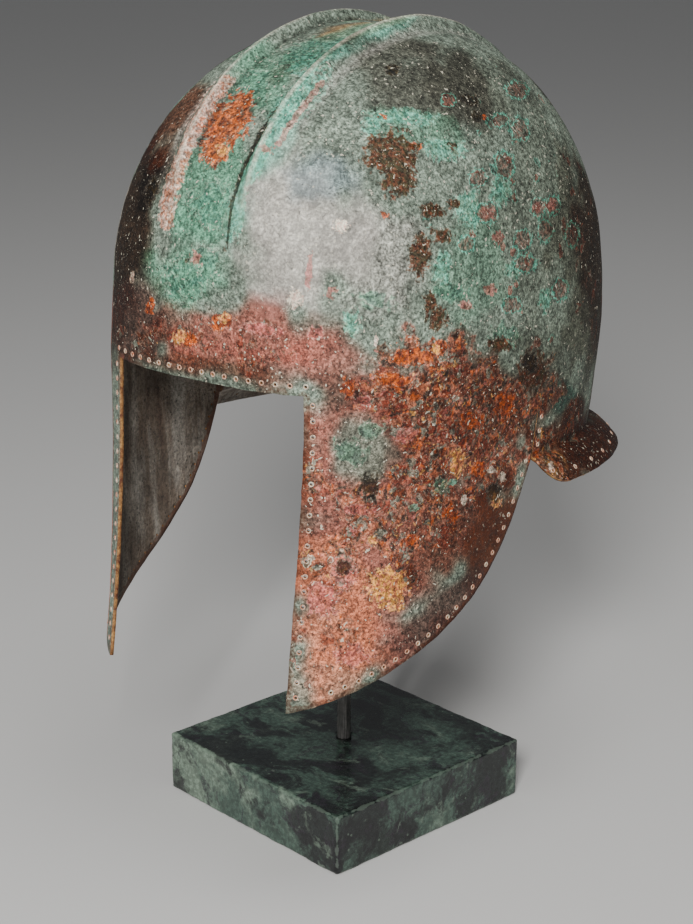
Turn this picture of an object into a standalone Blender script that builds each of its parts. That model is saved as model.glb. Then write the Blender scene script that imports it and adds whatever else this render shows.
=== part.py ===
"""Illyrian helmet of beaten bronze on a marble slab with a steel post, in metres, +Z up.

The helmet faces -Y and is the same on both sides of x = 0.  The origin is under the middle of the slab.
The bowl is a stack of rounded sections: a half width, a front reach and a back reach for each height,
joined by a superellipse.  Half of it is meshed as rays over the bowl from a point at the side, a
cheekpiece below the front rays, and a nape with a flared neck guard below the back rays.
"""
import math

import bmesh
import bpy
from mathutils import Matrix, Vector

# Driving sizes
HELMET_WIDTH = 0.1814
BOWL_LENGTH = 0.2446
BOWL_RISE = 0.1331
CHEEK_DROP = 0.1320
OPENING_WIDTH = 0.0984
NAPE_DROP = 0.0440
NAPE_FALL = 0.0080
TIP_SWEEP = 0.0122
NOTCH_SHIFT = -0.0045
WALL = 0.0016
TIP_CLEARANCE = 0.0635
SLAB_SIDE = 0.116
SLAB_HEIGHT = 0.0285
SLAB_TURN = math.radians(-9.7)
SLAB_EDGE = 0.0012
POST_DIAMETER = 0.0064
POST_SOCKET = 0.012
HEAD_DIAMETER = 0.020
HEAD_HEIGHT = 0.005
HEAD_ROOM = 0.0004
GAP = 0.0003

# Post head: shares of its half diameter outward and of its height down from the top
HEAD_OUTLINE = ((0.6, 0.1), (0.94, 0.3), (1.0, 0.5), (0.8, 0.8))

# Bowl, from the driving sizes: its widest place, and the part of its length that lies before it
FRONT_SHARE = 0.488
CENTRE_SHARE = 0.083
HALF_WIDTH = HELMET_WIDTH / 2
FRONT_REACH = FRONT_SHARE * BOWL_LENGTH
BACK_REACH = BOWL_LENGTH - FRONT_REACH
CENTRE_Y = CENTRE_SHARE * BOWL_LENGTH
TIP_Z = SLAB_HEIGHT + TIP_CLEARANCE
BROW_Z = TIP_Z + CHEEK_DROP
CROWN_Z = BROW_Z + BOWL_RISE

# Powers of the superellipse that joins the reaches
FRONT_POWER_BROW = 2.85
FRONT_POWER_CROWN = 2.65
BACK_POWER = 2.09

# Upright profiles of the side, front and back: the widest height as a share of the rise, the power of
# the rise to the crown, and the draw below it as shares per cheek drop, first and second power
SIDE_PROFILE = (0.0, 0.674, -0.075, 0.016)
FRONT_PROFILE = (0.274, 0.935, 0.0, 0.081)
BACK_PROFILE = (0.103, 1.06, 0.0, -0.30)

# Slit above the notch
SLIT_LENGTH = 0.020
SLIT_WIDTH = 0.0006

# Cheek outline handles: (share of the bowl length along Y, share of the cheek drop along Z)
FRONT_HANDLE_TOP = (0.0, -0.26)
FRONT_HANDLE_TIP = (0.0315, 0.40)
LOWER_HANDLE_TIP = (0.319, 0.20)
LOWER_HANDLE_NOTCH = (-0.091, -0.401)

# Neck guard: its rows as shares of the reach outward and of the drop
GUARD_SIDE = 0.0115
GUARD_BACK = 0.0175
GUARD_DROP = 0.0110
GUARD_CORNER = 0.013
GUARD_PROFILE = ((0.34, 0.18), (0.70, 0.52), (1.0, 1.0))

# Ribs: the section's points as shares of the inner or outer width (below or above 0) and of the height
RIB_HEIGHT = 0.0052
RIB_CREST_FRONT = 0.0165
RIB_CREST_TOP = 0.0195
RIB_INNER = 0.0055
RIB_OUTER = 0.0085
RIB_SECTION = ((-1.0, 0.0), (-0.27, 0.88), (0.0, 1.0), (0.41, 0.72), (1.0, 0.0))

# Ribs along the bowl: where the steep toe starts and ends, its share of the height, and the full part
RIB_START = math.radians(30)
RIB_TOE_END = math.radians(39)
RIB_TOE = 0.42
RIB_FULL = math.radians(60)
RIB_FALL = math.radians(125)
RIB_END = math.radians(158)

# Punched holes along the edges
HOLE_DIAMETER = 0.0016
HOLE_INSET = 0.0040
HOLE_SIDES = 6
HOLES_BROW = 9
HOLES_FRONT = 17
HOLES_LOWER = 20
HOLES_SLIT = 3
HOLES_GUARD = 10

# First and last hole as shares of their edge, and the guard's first hole as a share of its corner
FRONT_SPAN = (0.035, 0.955)
LOWER_SPAN = (0.075, 0.985)
SLIT_SPAN = (0.62, 0.90)
GUARD_START = 0.9
GUARD_INSET = 0.75 * HOLE_INSET

# Mesh counts for half of the helmet
RAYS = 24
RINGS = 17
CHEEK_RINGS = 14
ROWS = 8
POST_SIDES = 24

# How the nape's rings crowd toward the side, the share of the back that is drawn straight down, and
# the step for slopes
NAPE_CROWDING = 1.25
STRAIGHT_BACK = 0.9
PROBE = 0.0005
EDGE_PROBE = 0.01

# Counts for halving searches, and for stepping along a ray and along an edge, and the merging distance
HALVINGS = 48
RAY_STEPS = 240
EDGE_STEPS = 200
MERGE = 0.0001

COLLECTION = "illyrian_helmet"
CUTTERS = "cutters"


def clear_scene():
    for thing in list(bpy.data.objects):
        bpy.data.objects.remove(thing, do_unlink=True)


def make_collection(name):
    collection = bpy.data.collections.new(name)
    bpy.context.scene.collection.children.link(collection)
    return collection


def make_material(name, colour, metallic, roughness):
    material = bpy.data.materials.new(name)
    material.use_nodes = True
    shader = material.node_tree.nodes["Principled BSDF"]
    shader.inputs["Base Color"].default_value = (*colour, 1.0)
    shader.inputs["Metallic"].default_value = metallic
    shader.inputs["Roughness"].default_value = roughness
    return material


def add_object(name, mesh, collection, material=None, smooth=True):
    thing = bpy.data.objects.new(name, mesh)
    collection.objects.link(thing)
    if material is not None:
        mesh.materials.append(material)
    for polygon in mesh.polygons:
        polygon.use_smooth = smooth
    return thing


def add_cutter(name, mesh, collection):
    cutter = add_object(name, mesh, collection, smooth=False)
    cutter.hide_render = True
    cutter.display_type = 'WIRE'
    return cutter


def cut(target, cutter):
    modifier = target.modifiers.new("cut_" + cutter.name, 'BOOLEAN')
    modifier.operation = 'DIFFERENCE'
    modifier.solver = 'EXACT'
    modifier.object = cutter


def mix(low, high, share):
    return low + (high - low) * share


def smooth_step(low, high, value):
    share = min(max((value - low) / (high - low), 0.0), 1.0)
    return share * share * (3 - 2 * share)


def reach_at(z, size, profile):
    """A reach of the bowl at height z, from its widest value and its upright profile."""
    widest_share, power, first, second = profile
    widest = BROW_Z + widest_share * BOWL_RISE
    if z > widest:
        rise = min((z - widest) / (CROWN_Z - widest), 1.0)
        return size * math.sqrt(max(1 - rise * rise, 0.0)) ** power
    depth = (widest - z) / CHEEK_DROP
    return size * (1 + first * depth + second * depth * depth)


def section(z):
    """Half width, front reach, back reach and front power of the bowl at height z."""
    rise = min(max((z - BROW_Z) / BOWL_RISE, 0.0), 1.0)
    return (reach_at(z, HALF_WIDTH, SIDE_PROFILE), reach_at(z, FRONT_REACH, FRONT_PROFILE),
            reach_at(z, BACK_REACH, BACK_PROFILE), mix(FRONT_POWER_BROW, FRONT_POWER_CROWN, rise))


def side_x(y, z):
    """Half width of the bowl at y, z, and 0 outside its outline."""
    half, front, back, power = section(z)
    reach = front
    if y > CENTRE_Y:
        reach, power = back, BACK_POWER
    share = abs(y - CENTRE_Y) / max(reach, 1e-9)
    if share >= 1:
        return 0.0
    return half * (1 - share ** power) ** (1 / power)


def ray_point(turn, distance):
    """Point in the middle plane, from the side point's foot: turn 0 is forward and pi is back."""
    return CENTRE_Y - distance * math.cos(turn), BROW_Z + distance * math.sin(turn)


def ray_reach(turn):
    """Distance from the middle of the bowl to its outline in the middle plane."""
    low, high = 0.0, BOWL_LENGTH
    for _ in range(HALVINGS):
        middle = (low + high) / 2
        if side_x(*ray_point(turn, middle)) > 0:
            low = middle
        else:
            high = middle
    return low


def ray_profile(turn, steps=RAY_STEPS):
    """Points (distance, x, run) along a ray, from the side to the middle plane."""
    reach = ray_reach(turn)
    profile = []
    run = 0.0
    for step in range(steps + 1):
        distance = reach * math.sin(math.pi / 2 * step / steps)
        x = side_x(*ray_point(turn, distance)) if step < steps else 0.0
        if profile:
            run += math.hypot(distance - profile[-1][0], x - profile[-1][1])
        profile.append((distance, x, run))
    return profile


def at_x(profile, x):
    """Distance along the ray, and run, where the surface is x from the middle plane."""
    for near, far in zip(profile, profile[1:]):
        if far[1] <= x <= near[1]:
            share = (near[1] - x) / max(near[1] - far[1], 1e-12)
            return mix(near[0], far[0], share), mix(near[2], far[2], share)
    return profile[-1][0], profile[-1][2]


def at_run(profile, run):
    """Distance along the ray, and x, after a run along the surface."""
    for near, far in zip(profile, profile[1:]):
        if near[2] <= run <= far[2]:
            share = (run - near[2]) / max(far[2] - near[2], 1e-12)
            return mix(near[0], far[0], share), mix(near[1], far[1], share)
    return profile[-1][0], profile[-1][1]


def rib_crest(turn):
    return mix(RIB_CREST_FRONT, RIB_CREST_TOP, math.sin(turn))


def rib_height(turn):
    """Height of the ribs along the bowl: a steep toe in front, then a long rise, and a fall behind."""
    toe = smooth_step(RIB_START, RIB_TOE_END, turn)
    body = mix(smooth_step(RIB_START, RIB_FULL, turn), 1.0, RIB_TOE)
    return RIB_HEIGHT * toe * body * (1 - smooth_step(RIB_FALL, RIB_END, turn))


def ring_share(ring, turn):
    """Share of a ray's run, from the side point to the rib, for a ring; ring CHEEK_RINGS meets the opening."""
    opening = OPENING_SHARE * ring / CHEEK_RINGS
    if ring > CHEEK_RINGS:
        opening = mix(OPENING_SHARE, 1.0, (ring - CHEEK_RINGS) / (RINGS - CHEEK_RINGS))
    nape = (ring / RINGS) ** NAPE_CROWDING
    return mix(opening, nape, turn / math.pi)


def opening_share():
    profile = ray_profile(0.0)
    return at_x(profile, OPENING_WIDTH / 2)[1] / at_x(profile, rib_crest(0.0) + RIB_OUTER)[1]


OPENING_SHARE = opening_share()


def ray_points(turn):
    """One ray's points from the side point over the rib to the middle plane."""
    profile = ray_profile(turn)
    crest = rib_crest(turn)
    foot_run = at_x(profile, crest + RIB_OUTER)[1]
    points = []
    for ring in range(RINGS):
        distance, x = at_run(profile, foot_run * ring_share(ring, turn))
        points.append((x, distance))
    for width_share, height_share in reversed(RIB_SECTION):
        x = crest + width_share * (RIB_OUTER if width_share > 0 else RIB_INNER)
        points.append((x, at_x(profile, x)[0] + height_share * rib_height(turn)))
    channel = (crest - RIB_INNER) / 2
    points.append((channel, at_x(profile, channel)[0]))
    points.append((0.0, profile[-1][0]))
    return [Vector((x, *ray_point(turn, distance))) for x, distance in points]


def bezier(start, first, second, end, share):
    rest = 1 - share
    return (start * rest ** 3 + first * 3 * rest * rest * share
            + second * 3 * rest * share * share + end * share ** 3)


def handle(corner, offset):
    return corner + Vector((offset[0] * BOWL_LENGTH, offset[1] * CHEEK_DROP))


def opening_corner():
    """The face opening's upper corner in (y, z)."""
    half, front, _, power = section(BROW_Z)
    return Vector((CENTRE_Y - front * (1 - (OPENING_WIDTH / 2 / half) ** power) ** (1 / power), BROW_Z))


def cheek_tip():
    return Vector((opening_corner().x - TIP_SWEEP, TIP_Z))


def notch():
    return Vector((CENTRE_Y + NOTCH_SHIFT, BROW_Z - NAPE_DROP))


def cheek_front(share):
    """Front edge of the cheekpiece in (y, z), from the opening's corner to the tip."""
    top, tip = opening_corner(), cheek_tip()
    return bezier(top, handle(top, FRONT_HANDLE_TOP), handle(tip, FRONT_HANDLE_TIP), tip, share)


def cheek_lower(share):
    """Lower edge of the cheekpiece in (y, z), from the tip to the notch."""
    tip, end = cheek_tip(), notch()
    return bezier(tip, handle(tip, LOWER_HANDLE_TIP), handle(end, LOWER_HANDLE_NOTCH), end, share)


def slit_line(share):
    """Line in (y, z) from the side point down to the notch."""
    return Vector((CENTRE_Y, BROW_Z)).lerp(notch(), share)


def on_surface(flat):
    return Vector((side_x(flat.x, flat.y), flat.x, flat.y))


def cheek_point(tops, lowers, column, down):
    """Coons patch in (y, z) between the brow line, the front edge, the lower edge and the slit line."""
    across = column / CHEEK_RINGS
    front, back = cheek_front(down), slit_line(down)
    corners = (tops[0] * (1 - across) * (1 - down) + tops[-1] * across * (1 - down)
               + lowers[0] * (1 - across) * down + lowers[-1] * across * down)
    return (tops[column] * (1 - down) + lowers[column] * down
            + front * (1 - across) + back * across - corners)


def cheek_grid(front_ray):
    """Rows of points from the brow line down; columns from the opening's corner to the side point."""
    tops = [Vector((point.y, point.z)) for point in reversed(front_ray[:CHEEK_RINGS + 1])]
    lowers = [cheek_lower(share) for share in even_shares(cheek_lower, CHEEK_RINGS + 1, 0.0, 1.0)]
    rows = []
    for row in range(1, ROWS + 1):
        line = [cheek_point(tops, lowers, column, row / ROWS) for column in range(CHEEK_RINGS + 1)]
        rows.append([on_surface(flat) for flat in line])
    return rows


def nape_point(point, down):
    """A point of the nape below a point of the brow line, at the same share of the back reach."""
    half_top, _, back_top, _ = section(BROW_Z)
    along = (point.y - CENTRE_Y) / back_top
    z = BROW_Z - down * (NAPE_DROP + NAPE_FALL * along)
    half, _, back, _ = section(z)
    if point.x <= 0:
        return Vector((0.0, CENTRE_Y + back, z))
    y = CENTRE_Y + along * back + (slit_line(down).x - CENTRE_Y) * (1 - along)
    if along > STRAIGHT_BACK:
        return Vector((point.x * half / half_top, y, z))
    return Vector((side_x(y, z), y, z))


def nape_grid(back_ray):
    return [[nape_point(point, row / ROWS) for point in back_ray] for row in range(1, ROWS + 1)]


def guard_grid(root):
    """Rows of the flared neck guard below the root line, drawn in to nothing at the notch."""
    runs = [0.0]
    for near, far in zip(root, root[1:]):
        runs.append(runs[-1] + (far - near).length)
    rows = []
    for out_share, drop_share in GUARD_PROFILE:
        line = []
        for index, point in enumerate(root):
            before, after = root[max(index - 1, 0)], root[min(index + 1, len(root) - 1)]
            along = (after - before).normalized()
            outward = Vector((-along.y, along.x, 0)) if index < len(root) - 1 else Vector((0, 1, 0))
            outward = outward if outward.y > 0 or outward.x > 0 else -outward
            corner = 1 - min(runs[index] / GUARD_CORNER, 1.0)
            full = math.sqrt(max(1 - corner * corner, 0.0))
            reach = mix(GUARD_SIDE, GUARD_BACK, runs[index] / runs[-1]) * full
            drop = GUARD_DROP * full
            line.append(point + outward.normalized() * reach * out_share - Vector((0, 0, drop * drop_share)))
        rows.append(line)
    return rows


def add_grid(mesh, rows):
    """Quads between rows of vertices; rows may share vertices at their ends."""
    for upper, lower in zip(rows, rows[1:]):
        for column in range(len(upper) - 1):
            corners = [upper[column], upper[column + 1], lower[column + 1], lower[column]]
            unique = list(dict.fromkeys(corners))
            if len(unique) > 2:
                mesh.faces.new(unique)


def half_shell():
    """Open half of the helmet's outer face, from the middle plane to the side."""
    rays = [ray_points(math.pi * ray / RAYS) for ray in range(RAYS + 1)]
    mesh = bmesh.new()
    pole = mesh.verts.new(rays[0][0])
    fan = [[pole] + [mesh.verts.new(point) for point in ray[1:]] for ray in rays]
    add_grid(mesh, fan)
    front, back = fan[0], fan[-1]
    slit_rows = round(ROWS * (1 - SLIT_LENGTH / NAPE_DROP))
    cheek_rows = [list(reversed(front[:CHEEK_RINGS + 1]))]
    nape_rows = [back]
    for row, (cheek, nape) in enumerate(zip(cheek_grid(rays[0]), nape_grid(rays[-1])), start=1):
        is_open = row > slit_rows
        opened = Vector((0, SLIT_WIDTH / 2 if is_open else 0, 0))
        nape[0] = cheek[-1] + opened
        cheek[-1] = cheek[-1] - opened
        cheek_rows.append([mesh.verts.new(point) for point in cheek])
        first = mesh.verts.new(nape[0]) if is_open else cheek_rows[-1][-1]
        nape_rows.append([first] + [mesh.verts.new(point) for point in nape[1:]])
    add_grid(mesh, cheek_rows)
    add_grid(mesh, nape_rows)
    root = [vertex.co.copy() for vertex in nape_rows[-1]]
    guard_rows = [nape_rows[-1]]
    for line in guard_grid(root):
        guard_rows.append([nape_rows[-1][0]] + [mesh.verts.new(point) for point in line[1:]])
    add_grid(mesh, guard_rows)
    bmesh.ops.recalc_face_normals(mesh, faces=mesh.faces)
    outer = max(mesh.faces, key=lambda face: face.calc_center_median().x)
    if outer.normal.x < 0:
        bmesh.ops.reverse_faces(mesh, faces=mesh.faces)
    return mesh


def helmet_shell(collection, cutters, material):
    mesh = half_shell()
    data = bpy.data.meshes.new("helmet_shell")
    mesh.to_mesh(data)
    mesh.free()
    shell = add_object("helmet_shell", data, collection, material)
    mirror = shell.modifiers.new("mirror", 'MIRROR')
    mirror.merge_threshold = MERGE
    thickness = shell.modifiers.new("wall", 'SOLIDIFY')
    thickness.thickness = WALL
    thickness.offset = -1.0
    thickness.use_even_offset = True
    cut(shell, add_cutter("punched_holes", hole_mesh(), cutters))
    return shell


def surface_normal(flat):
    """Outward normal of the bowl at (y, z)."""
    along_y = on_surface(flat + Vector((PROBE, 0))) - on_surface(flat - Vector((PROBE, 0)))
    along_z = on_surface(flat + Vector((0, PROBE))) - on_surface(flat - Vector((0, PROBE)))
    normal = along_y.cross(along_z).normalized()
    return normal if normal.x > 0 else -normal


def inset_point(curve, share):
    """A hole's place and axis, HOLE_INSET inside an edge curve in (y, z) that runs with the bowl on its left."""
    along = (curve(min(share + EDGE_PROBE, 1.0)) - curve(max(share - EDGE_PROBE, 0.0))).normalized()
    inward = Vector((-along.y, along.x))
    here = curve(share)
    slope = (on_surface(here + inward * PROBE) - on_surface(here)).length / PROBE
    place = here + inward * (HOLE_INSET / max(slope, 1.0))
    return on_surface(place), surface_normal(place)


def even_shares(curve, count, first, last):
    """Shares of a curve that are evenly spaced on the surface, between two end shares."""
    steps = EDGE_STEPS
    points = [on_surface(curve(mix(first, last, step / steps))) for step in range(steps + 1)]
    runs = [0.0]
    for near, far in zip(points, points[1:]):
        runs.append(runs[-1] + (far - near).length)
    shares = []
    for index in range(count):
        wanted = runs[-1] * index / max(count - 1, 1)
        step = next(step for step, run in enumerate(runs) if run >= wanted - 1e-9)
        shares.append(mix(first, last, step / steps))
    return shares


def brow_holes():
    """Holes over the brow, from beside the middle plane to the opening's corner."""
    half, front, _, power = section(BROW_Z + HOLE_INSET)
    pitch = (OPENING_WIDTH / 2 + HOLE_INSET) / HOLES_BROW
    holes = []
    for index in range(HOLES_BROW):
        x = pitch * (index + 0.5)
        y = CENTRE_Y - front * (1 - (x / half) ** power) ** (1 / power)
        ahead = Vector((power * (x / half) ** (power - 1) / half,
                        -power * ((CENTRE_Y - y) / front) ** (power - 1) / front, 0))
        holes.append((Vector((x, y, BROW_Z + HOLE_INSET)), ahead.normalized()))
    return holes


def guard_holes():
    """Holes along the neck guard's edge."""
    rays = ray_points(math.pi)
    root = nape_grid(rays)[-1]
    middle, rim = guard_grid(root)[-2:]
    runs = [0.0]
    for near, far in zip(rim, rim[1:]):
        runs.append(runs[-1] + (far - near).length)
    start = GUARD_CORNER * GUARD_START
    pitch = (runs[-1] - start) / (HOLES_GUARD - 0.5)
    holes = []
    for index in range(HOLES_GUARD):
        wanted = start + pitch * index
        place = max(step for step, run in enumerate(runs) if run <= wanted)
        place = min(place, len(rim) - 2)
        share = (wanted - runs[place]) / (runs[place + 1] - runs[place])
        edge = rim[place].lerp(rim[place + 1], share)
        inner = middle[place].lerp(middle[place + 1], share)
        width = (inner - edge).length
        along = (rim[place + 1] - rim[place]).normalized()
        normal = along.cross(inner - edge).normalized()
        normal = normal if normal.z > 0 else -normal
        holes.append((edge.lerp(inner, GUARD_INSET / width), normal))
    return holes


def hole_places():
    """Place and axis of each punched hole on the left half."""
    holes = brow_holes()
    for share in even_shares(cheek_front, HOLES_FRONT, *FRONT_SPAN):
        holes.append(inset_point(cheek_front, share))
    for share in even_shares(cheek_lower, HOLES_LOWER, *LOWER_SPAN):
        holes.append(inset_point(cheek_lower, share))
    for share in even_shares(slit_line, HOLES_SLIT, *SLIT_SPAN):
        place = slit_line(share) + Vector((HOLE_INSET, 0))
        holes.append((on_surface(place), surface_normal(place)))
    return holes + guard_holes()


def hole_mesh():
    """All the punches as one mesh of small prisms, on both sides."""
    mesh = bmesh.new()
    for place, axis in hole_places():
        for side in (1, -1):
            centre = Vector((place.x * side, place.y, place.z)) - Vector((axis.x * side, axis.y, axis.z)) * WALL / 2
            turn = Vector((axis.x * side, axis.y, axis.z)).to_track_quat('Z', 'X').to_matrix().to_4x4()
            bmesh.ops.create_cone(mesh, cap_ends=True, segments=HOLE_SIDES, radius1=HOLE_DIAMETER / 2,
                                  radius2=HOLE_DIAMETER / 2, depth=WALL * 3,
                                  matrix=Matrix.Translation(centre) @ turn)
    data = bpy.data.meshes.new("punched_holes")
    mesh.to_mesh(data)
    mesh.free()
    return data


def post_top():
    """Height of the bowl's inner face above the post's axis."""
    low, high = BROW_Z, CROWN_Z
    for _ in range(HALVINGS):
        middle = (low + high) / 2
        if side_x(0.0, middle) > 0:
            low = middle
        else:
            high = middle
    return low - WALL * math.hypot(1.0, CENTRE_Y / BOWL_RISE) - GAP


def stand_post(collection, material):
    """Steel rod with a low domed head, turned about Z from its outline, listed from the top down."""
    radius, head = POST_DIAMETER / 2, HEAD_DIAMETER / 2
    top = post_top() - HEAD_ROOM
    outline = [(0, top)]
    outline += [(head * width, top - HEAD_HEIGHT * depth) for width, depth in HEAD_OUTLINE]
    outline += [(radius, top - HEAD_HEIGHT), (radius, SLAB_HEIGHT - POST_SOCKET + GAP),
                (0, SLAB_HEIGHT - POST_SOCKET + GAP)]
    data = bpy.data.meshes.new("stand_post")
    data.from_pydata([(reach, 0, z) for reach, z in outline],
                     [(step, step + 1) for step in range(len(outline) - 1)], [])
    post = add_object("stand_post", data, collection, material)
    turned = post.modifiers.new("turned", 'SCREW')
    turned.steps = POST_SIDES
    turned.render_steps = POST_SIDES
    turned.use_merge_vertices = True
    turned.merge_threshold = MERGE
    turned.use_smooth_shade = True
    return post


def socket_mesh():
    """The socket's cutter, a cylinder that stands out of the slab's top."""
    depth = POST_SOCKET * 2
    mesh = bmesh.new()
    bmesh.ops.create_cone(mesh, cap_ends=True, segments=POST_SIDES, radius1=POST_DIAMETER / 2 + GAP,
                          radius2=POST_DIAMETER / 2 + GAP, depth=depth)
    data = bpy.data.meshes.new("post_socket")
    mesh.to_mesh(data)
    mesh.free()
    return data


def stand_base(collection, cutters, material):
    """Marble slab with worn edges and a socket for the post."""
    mesh = bmesh.new()
    bmesh.ops.create_cube(mesh, size=1.0, matrix=Matrix.Diagonal((SLAB_SIDE, SLAB_SIDE, SLAB_HEIGHT, 1.0)))
    data = bpy.data.meshes.new("stand_base")
    mesh.to_mesh(data)
    mesh.free()
    base = add_object("stand_base", data, collection, material, smooth=False)
    base.location = (0, 0, SLAB_HEIGHT / 2)
    base.rotation_euler = (0, 0, SLAB_TURN)
    worn = base.modifiers.new("worn_edges", 'BEVEL')
    worn.width = SLAB_EDGE
    worn.segments = 2
    socket = add_cutter("post_socket", socket_mesh(), cutters)
    socket.location = (0, 0, SLAB_HEIGHT)
    cut(base, socket)
    return base


def build():
    clear_scene()
    parts = make_collection(COLLECTION)
    cutters = make_collection(CUTTERS)
    bronze = make_material("bronze_patina", (0.20, 0.28, 0.22), 0.35, 0.6)
    steel = make_material("black_steel", (0.03, 0.03, 0.035), 0.9, 0.4)
    marble = make_material("green_marble", (0.08, 0.13, 0.10), 0.0, 0.25)
    helmet_shell(parts, cutters, bronze)
    stand_post(parts, steel)
    stand_base(parts, cutters, marble)


build()
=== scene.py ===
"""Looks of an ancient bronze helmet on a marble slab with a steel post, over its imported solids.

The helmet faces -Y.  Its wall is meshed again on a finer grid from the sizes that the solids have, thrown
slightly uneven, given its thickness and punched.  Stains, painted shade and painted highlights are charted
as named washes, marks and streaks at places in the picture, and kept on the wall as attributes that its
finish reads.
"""

import logging
import math
from collections.abc import Callable
from dataclasses import dataclass, field
from enum import Enum
from functools import cached_property

import bmesh
import bpy
import numpy as np
from mathutils import Matrix, Vector, noise
from mathutils.bvhtree import BVHTree

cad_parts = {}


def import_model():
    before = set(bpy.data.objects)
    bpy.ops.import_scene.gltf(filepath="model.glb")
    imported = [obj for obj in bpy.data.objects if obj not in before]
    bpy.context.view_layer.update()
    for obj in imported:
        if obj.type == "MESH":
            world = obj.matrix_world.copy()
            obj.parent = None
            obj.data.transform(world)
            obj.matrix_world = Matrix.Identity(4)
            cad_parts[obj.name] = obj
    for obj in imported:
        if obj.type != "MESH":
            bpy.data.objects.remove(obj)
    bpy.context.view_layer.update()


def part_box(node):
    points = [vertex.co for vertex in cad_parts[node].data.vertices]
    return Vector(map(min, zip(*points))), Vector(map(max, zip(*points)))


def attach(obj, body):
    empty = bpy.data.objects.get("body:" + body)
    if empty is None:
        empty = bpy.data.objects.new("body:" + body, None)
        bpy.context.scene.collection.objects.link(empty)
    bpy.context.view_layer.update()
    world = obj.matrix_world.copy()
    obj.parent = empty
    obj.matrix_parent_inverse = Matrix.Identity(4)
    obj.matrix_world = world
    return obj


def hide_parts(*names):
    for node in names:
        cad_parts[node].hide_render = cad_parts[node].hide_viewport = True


LOG = logging.getLogger("helmet")
BODY = "root"
NOISE_SEED = 11
HALVINGS = 44
CURVE_STEPS = 400
STRAIGHT_BACK = 0.9
MIDDLE_PLANE = 1e-6
MERGE = 1e-5
FLIP = np.array([-1.0, 1.0, 1.0])

Curve = Callable[[float], Vector]
Colour = tuple[float, float, float, float]
Value = float | Colour | bpy.types.NodeSocket
Sockets = tuple[bpy.types.NodeSocket, bpy.types.NodeSocket]


class Tone(Enum):
    """Named colours of the metal's crusts and of the stand, as screen values."""

    GREY_GREEN = (0.48, 0.53, 0.47)
    PALE_GREY = (0.68, 0.66, 0.62)
    BLUE_GREY = (0.46, 0.53, 0.54)
    VERDIGRIS = (0.38, 0.60, 0.48)
    TURQUOISE = (0.42, 0.76, 0.65)
    TEAL = (0.18, 0.37, 0.32)
    ROSE = (0.62, 0.33, 0.27)
    PINK = (0.80, 0.42, 0.40)
    SALMON = (0.80, 0.46, 0.32)
    SHELL = (0.86, 0.72, 0.65)
    BRICK = (0.48, 0.19, 0.11)
    ORANGE = (0.80, 0.36, 0.08)
    OCHRE = (0.99, 0.70, 0.32)
    RUST_BROWN = (0.38, 0.18, 0.08)
    OLIVE = (0.21, 0.16, 0.05)
    BROWN = (0.26, 0.18, 0.13)
    SLATE = (0.31, 0.31, 0.27)
    NIGHT = (0.10, 0.09, 0.08)
    MAUVE = (0.33, 0.22, 0.19)
    BONE = (0.88, 0.85, 0.76)
    GOLD = (0.70, 0.52, 0.30)
    ASH = (0.43, 0.38, 0.33)

    @property
    def linear(self) -> tuple[float, float, float]:
        """The colour as scene-linear values."""
        return tuple(part / 12.92 if part <= 0.04045 else ((part + 0.055) / 1.055) ** 2.4
                     for part in self.value)

    @property
    def socket(self) -> Colour:
        """The colour as a shader socket takes it."""
        return (*self.linear, 1.0)


class Layer(Enum):
    """Sharp-edged stains, some with painted highlights and shade: attribute, main tone, second tone, breakup
    per metre, cover and crust height.
    """

    VERDIGRIS = ("layer_verdigris", Tone.VERDIGRIS, Tone.TEAL, 260.0, 0.55, 0.2)
    TURQUOISE = ("layer_turquoise", Tone.TURQUOISE, Tone.VERDIGRIS, 360.0, 0.60, 0.3)
    ORANGE = ("layer_orange", Tone.ORANGE, Tone.BRICK, 340.0, 0.85, 0.7)
    OLIVE = ("layer_olive", Tone.OLIVE, Tone.RUST_BROWN, 360.0, 0.90, 0.8)
    OCHRE = ("layer_ochre", Tone.OCHRE, Tone.SALMON, 420.0, 0.92, 0.4)
    PINK = ("layer_pink", Tone.PINK, Tone.ROSE, 420.0, 0.60, 0.2)
    NIGHT = ("layer_night", Tone.NIGHT, Tone.OLIVE, 420.0, 0.85, -0.4)
    # Only the far rib's inner face uses it: a pinkish crust with painted light.
    SHELL = ("layer_shell_with_painted_light", Tone.SHELL, Tone.SALMON, 420.0, 0.70, 0.1)
    BONE = ("layer_bone", Tone.BONE, Tone.SHELL, 700.0, 0.95, 0.5)
    BLISTER = ("layer_blister", Tone.SLATE, Tone.ROSE, 420.0, 0.45, 0.5)

    @property
    def ringed(self) -> bool:
        """True where a bright ring runs round the stain."""
        return self is Layer.BLISTER

    @property
    def attribute(self) -> str:
        """Name of the attribute on the wall."""
        return self.value[0]

    @property
    def tone(self) -> Tone:
        """Main colour of the stain."""
        return self.value[1]

    @property
    def second(self) -> Tone:
        """Colour that shows through it in places."""
        return self.value[2]

    @property
    def breakup(self) -> float:
        """How fine its ragged edge is, per metre."""
        return self.value[3]

    @property
    def cover(self) -> float:
        """How much it hides what is below."""
        return self.value[4]

    @property
    def crust(self) -> float:
        """How far it stands up."""
        return self.value[5]


@dataclass(frozen=True)
class Wash:
    """A broad soft stain, painted shade or painted highlight: place and half sizes in the picture's pixels,
    turn in degrees.
    """

    name: str
    tone: Tone
    across: float
    down: float
    wide: float
    tall: float
    turn: float = 0.0
    strength: float = 0.85


@dataclass(frozen=True)
class Mark:
    """A sharp stain: place and half sizes in the picture's pixels, turn in degrees."""

    across: float
    down: float
    wide: float
    tall: float
    turn: float = 0.0


@dataclass(frozen=True)
class Streak:
    """A sharp stain that follows a line through picture points, with a half width in pixels; some carry
    painted highlights and shade.
    """

    name: str
    layer: Layer
    half_width: float
    points: tuple[tuple[float, float], ...]


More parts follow.
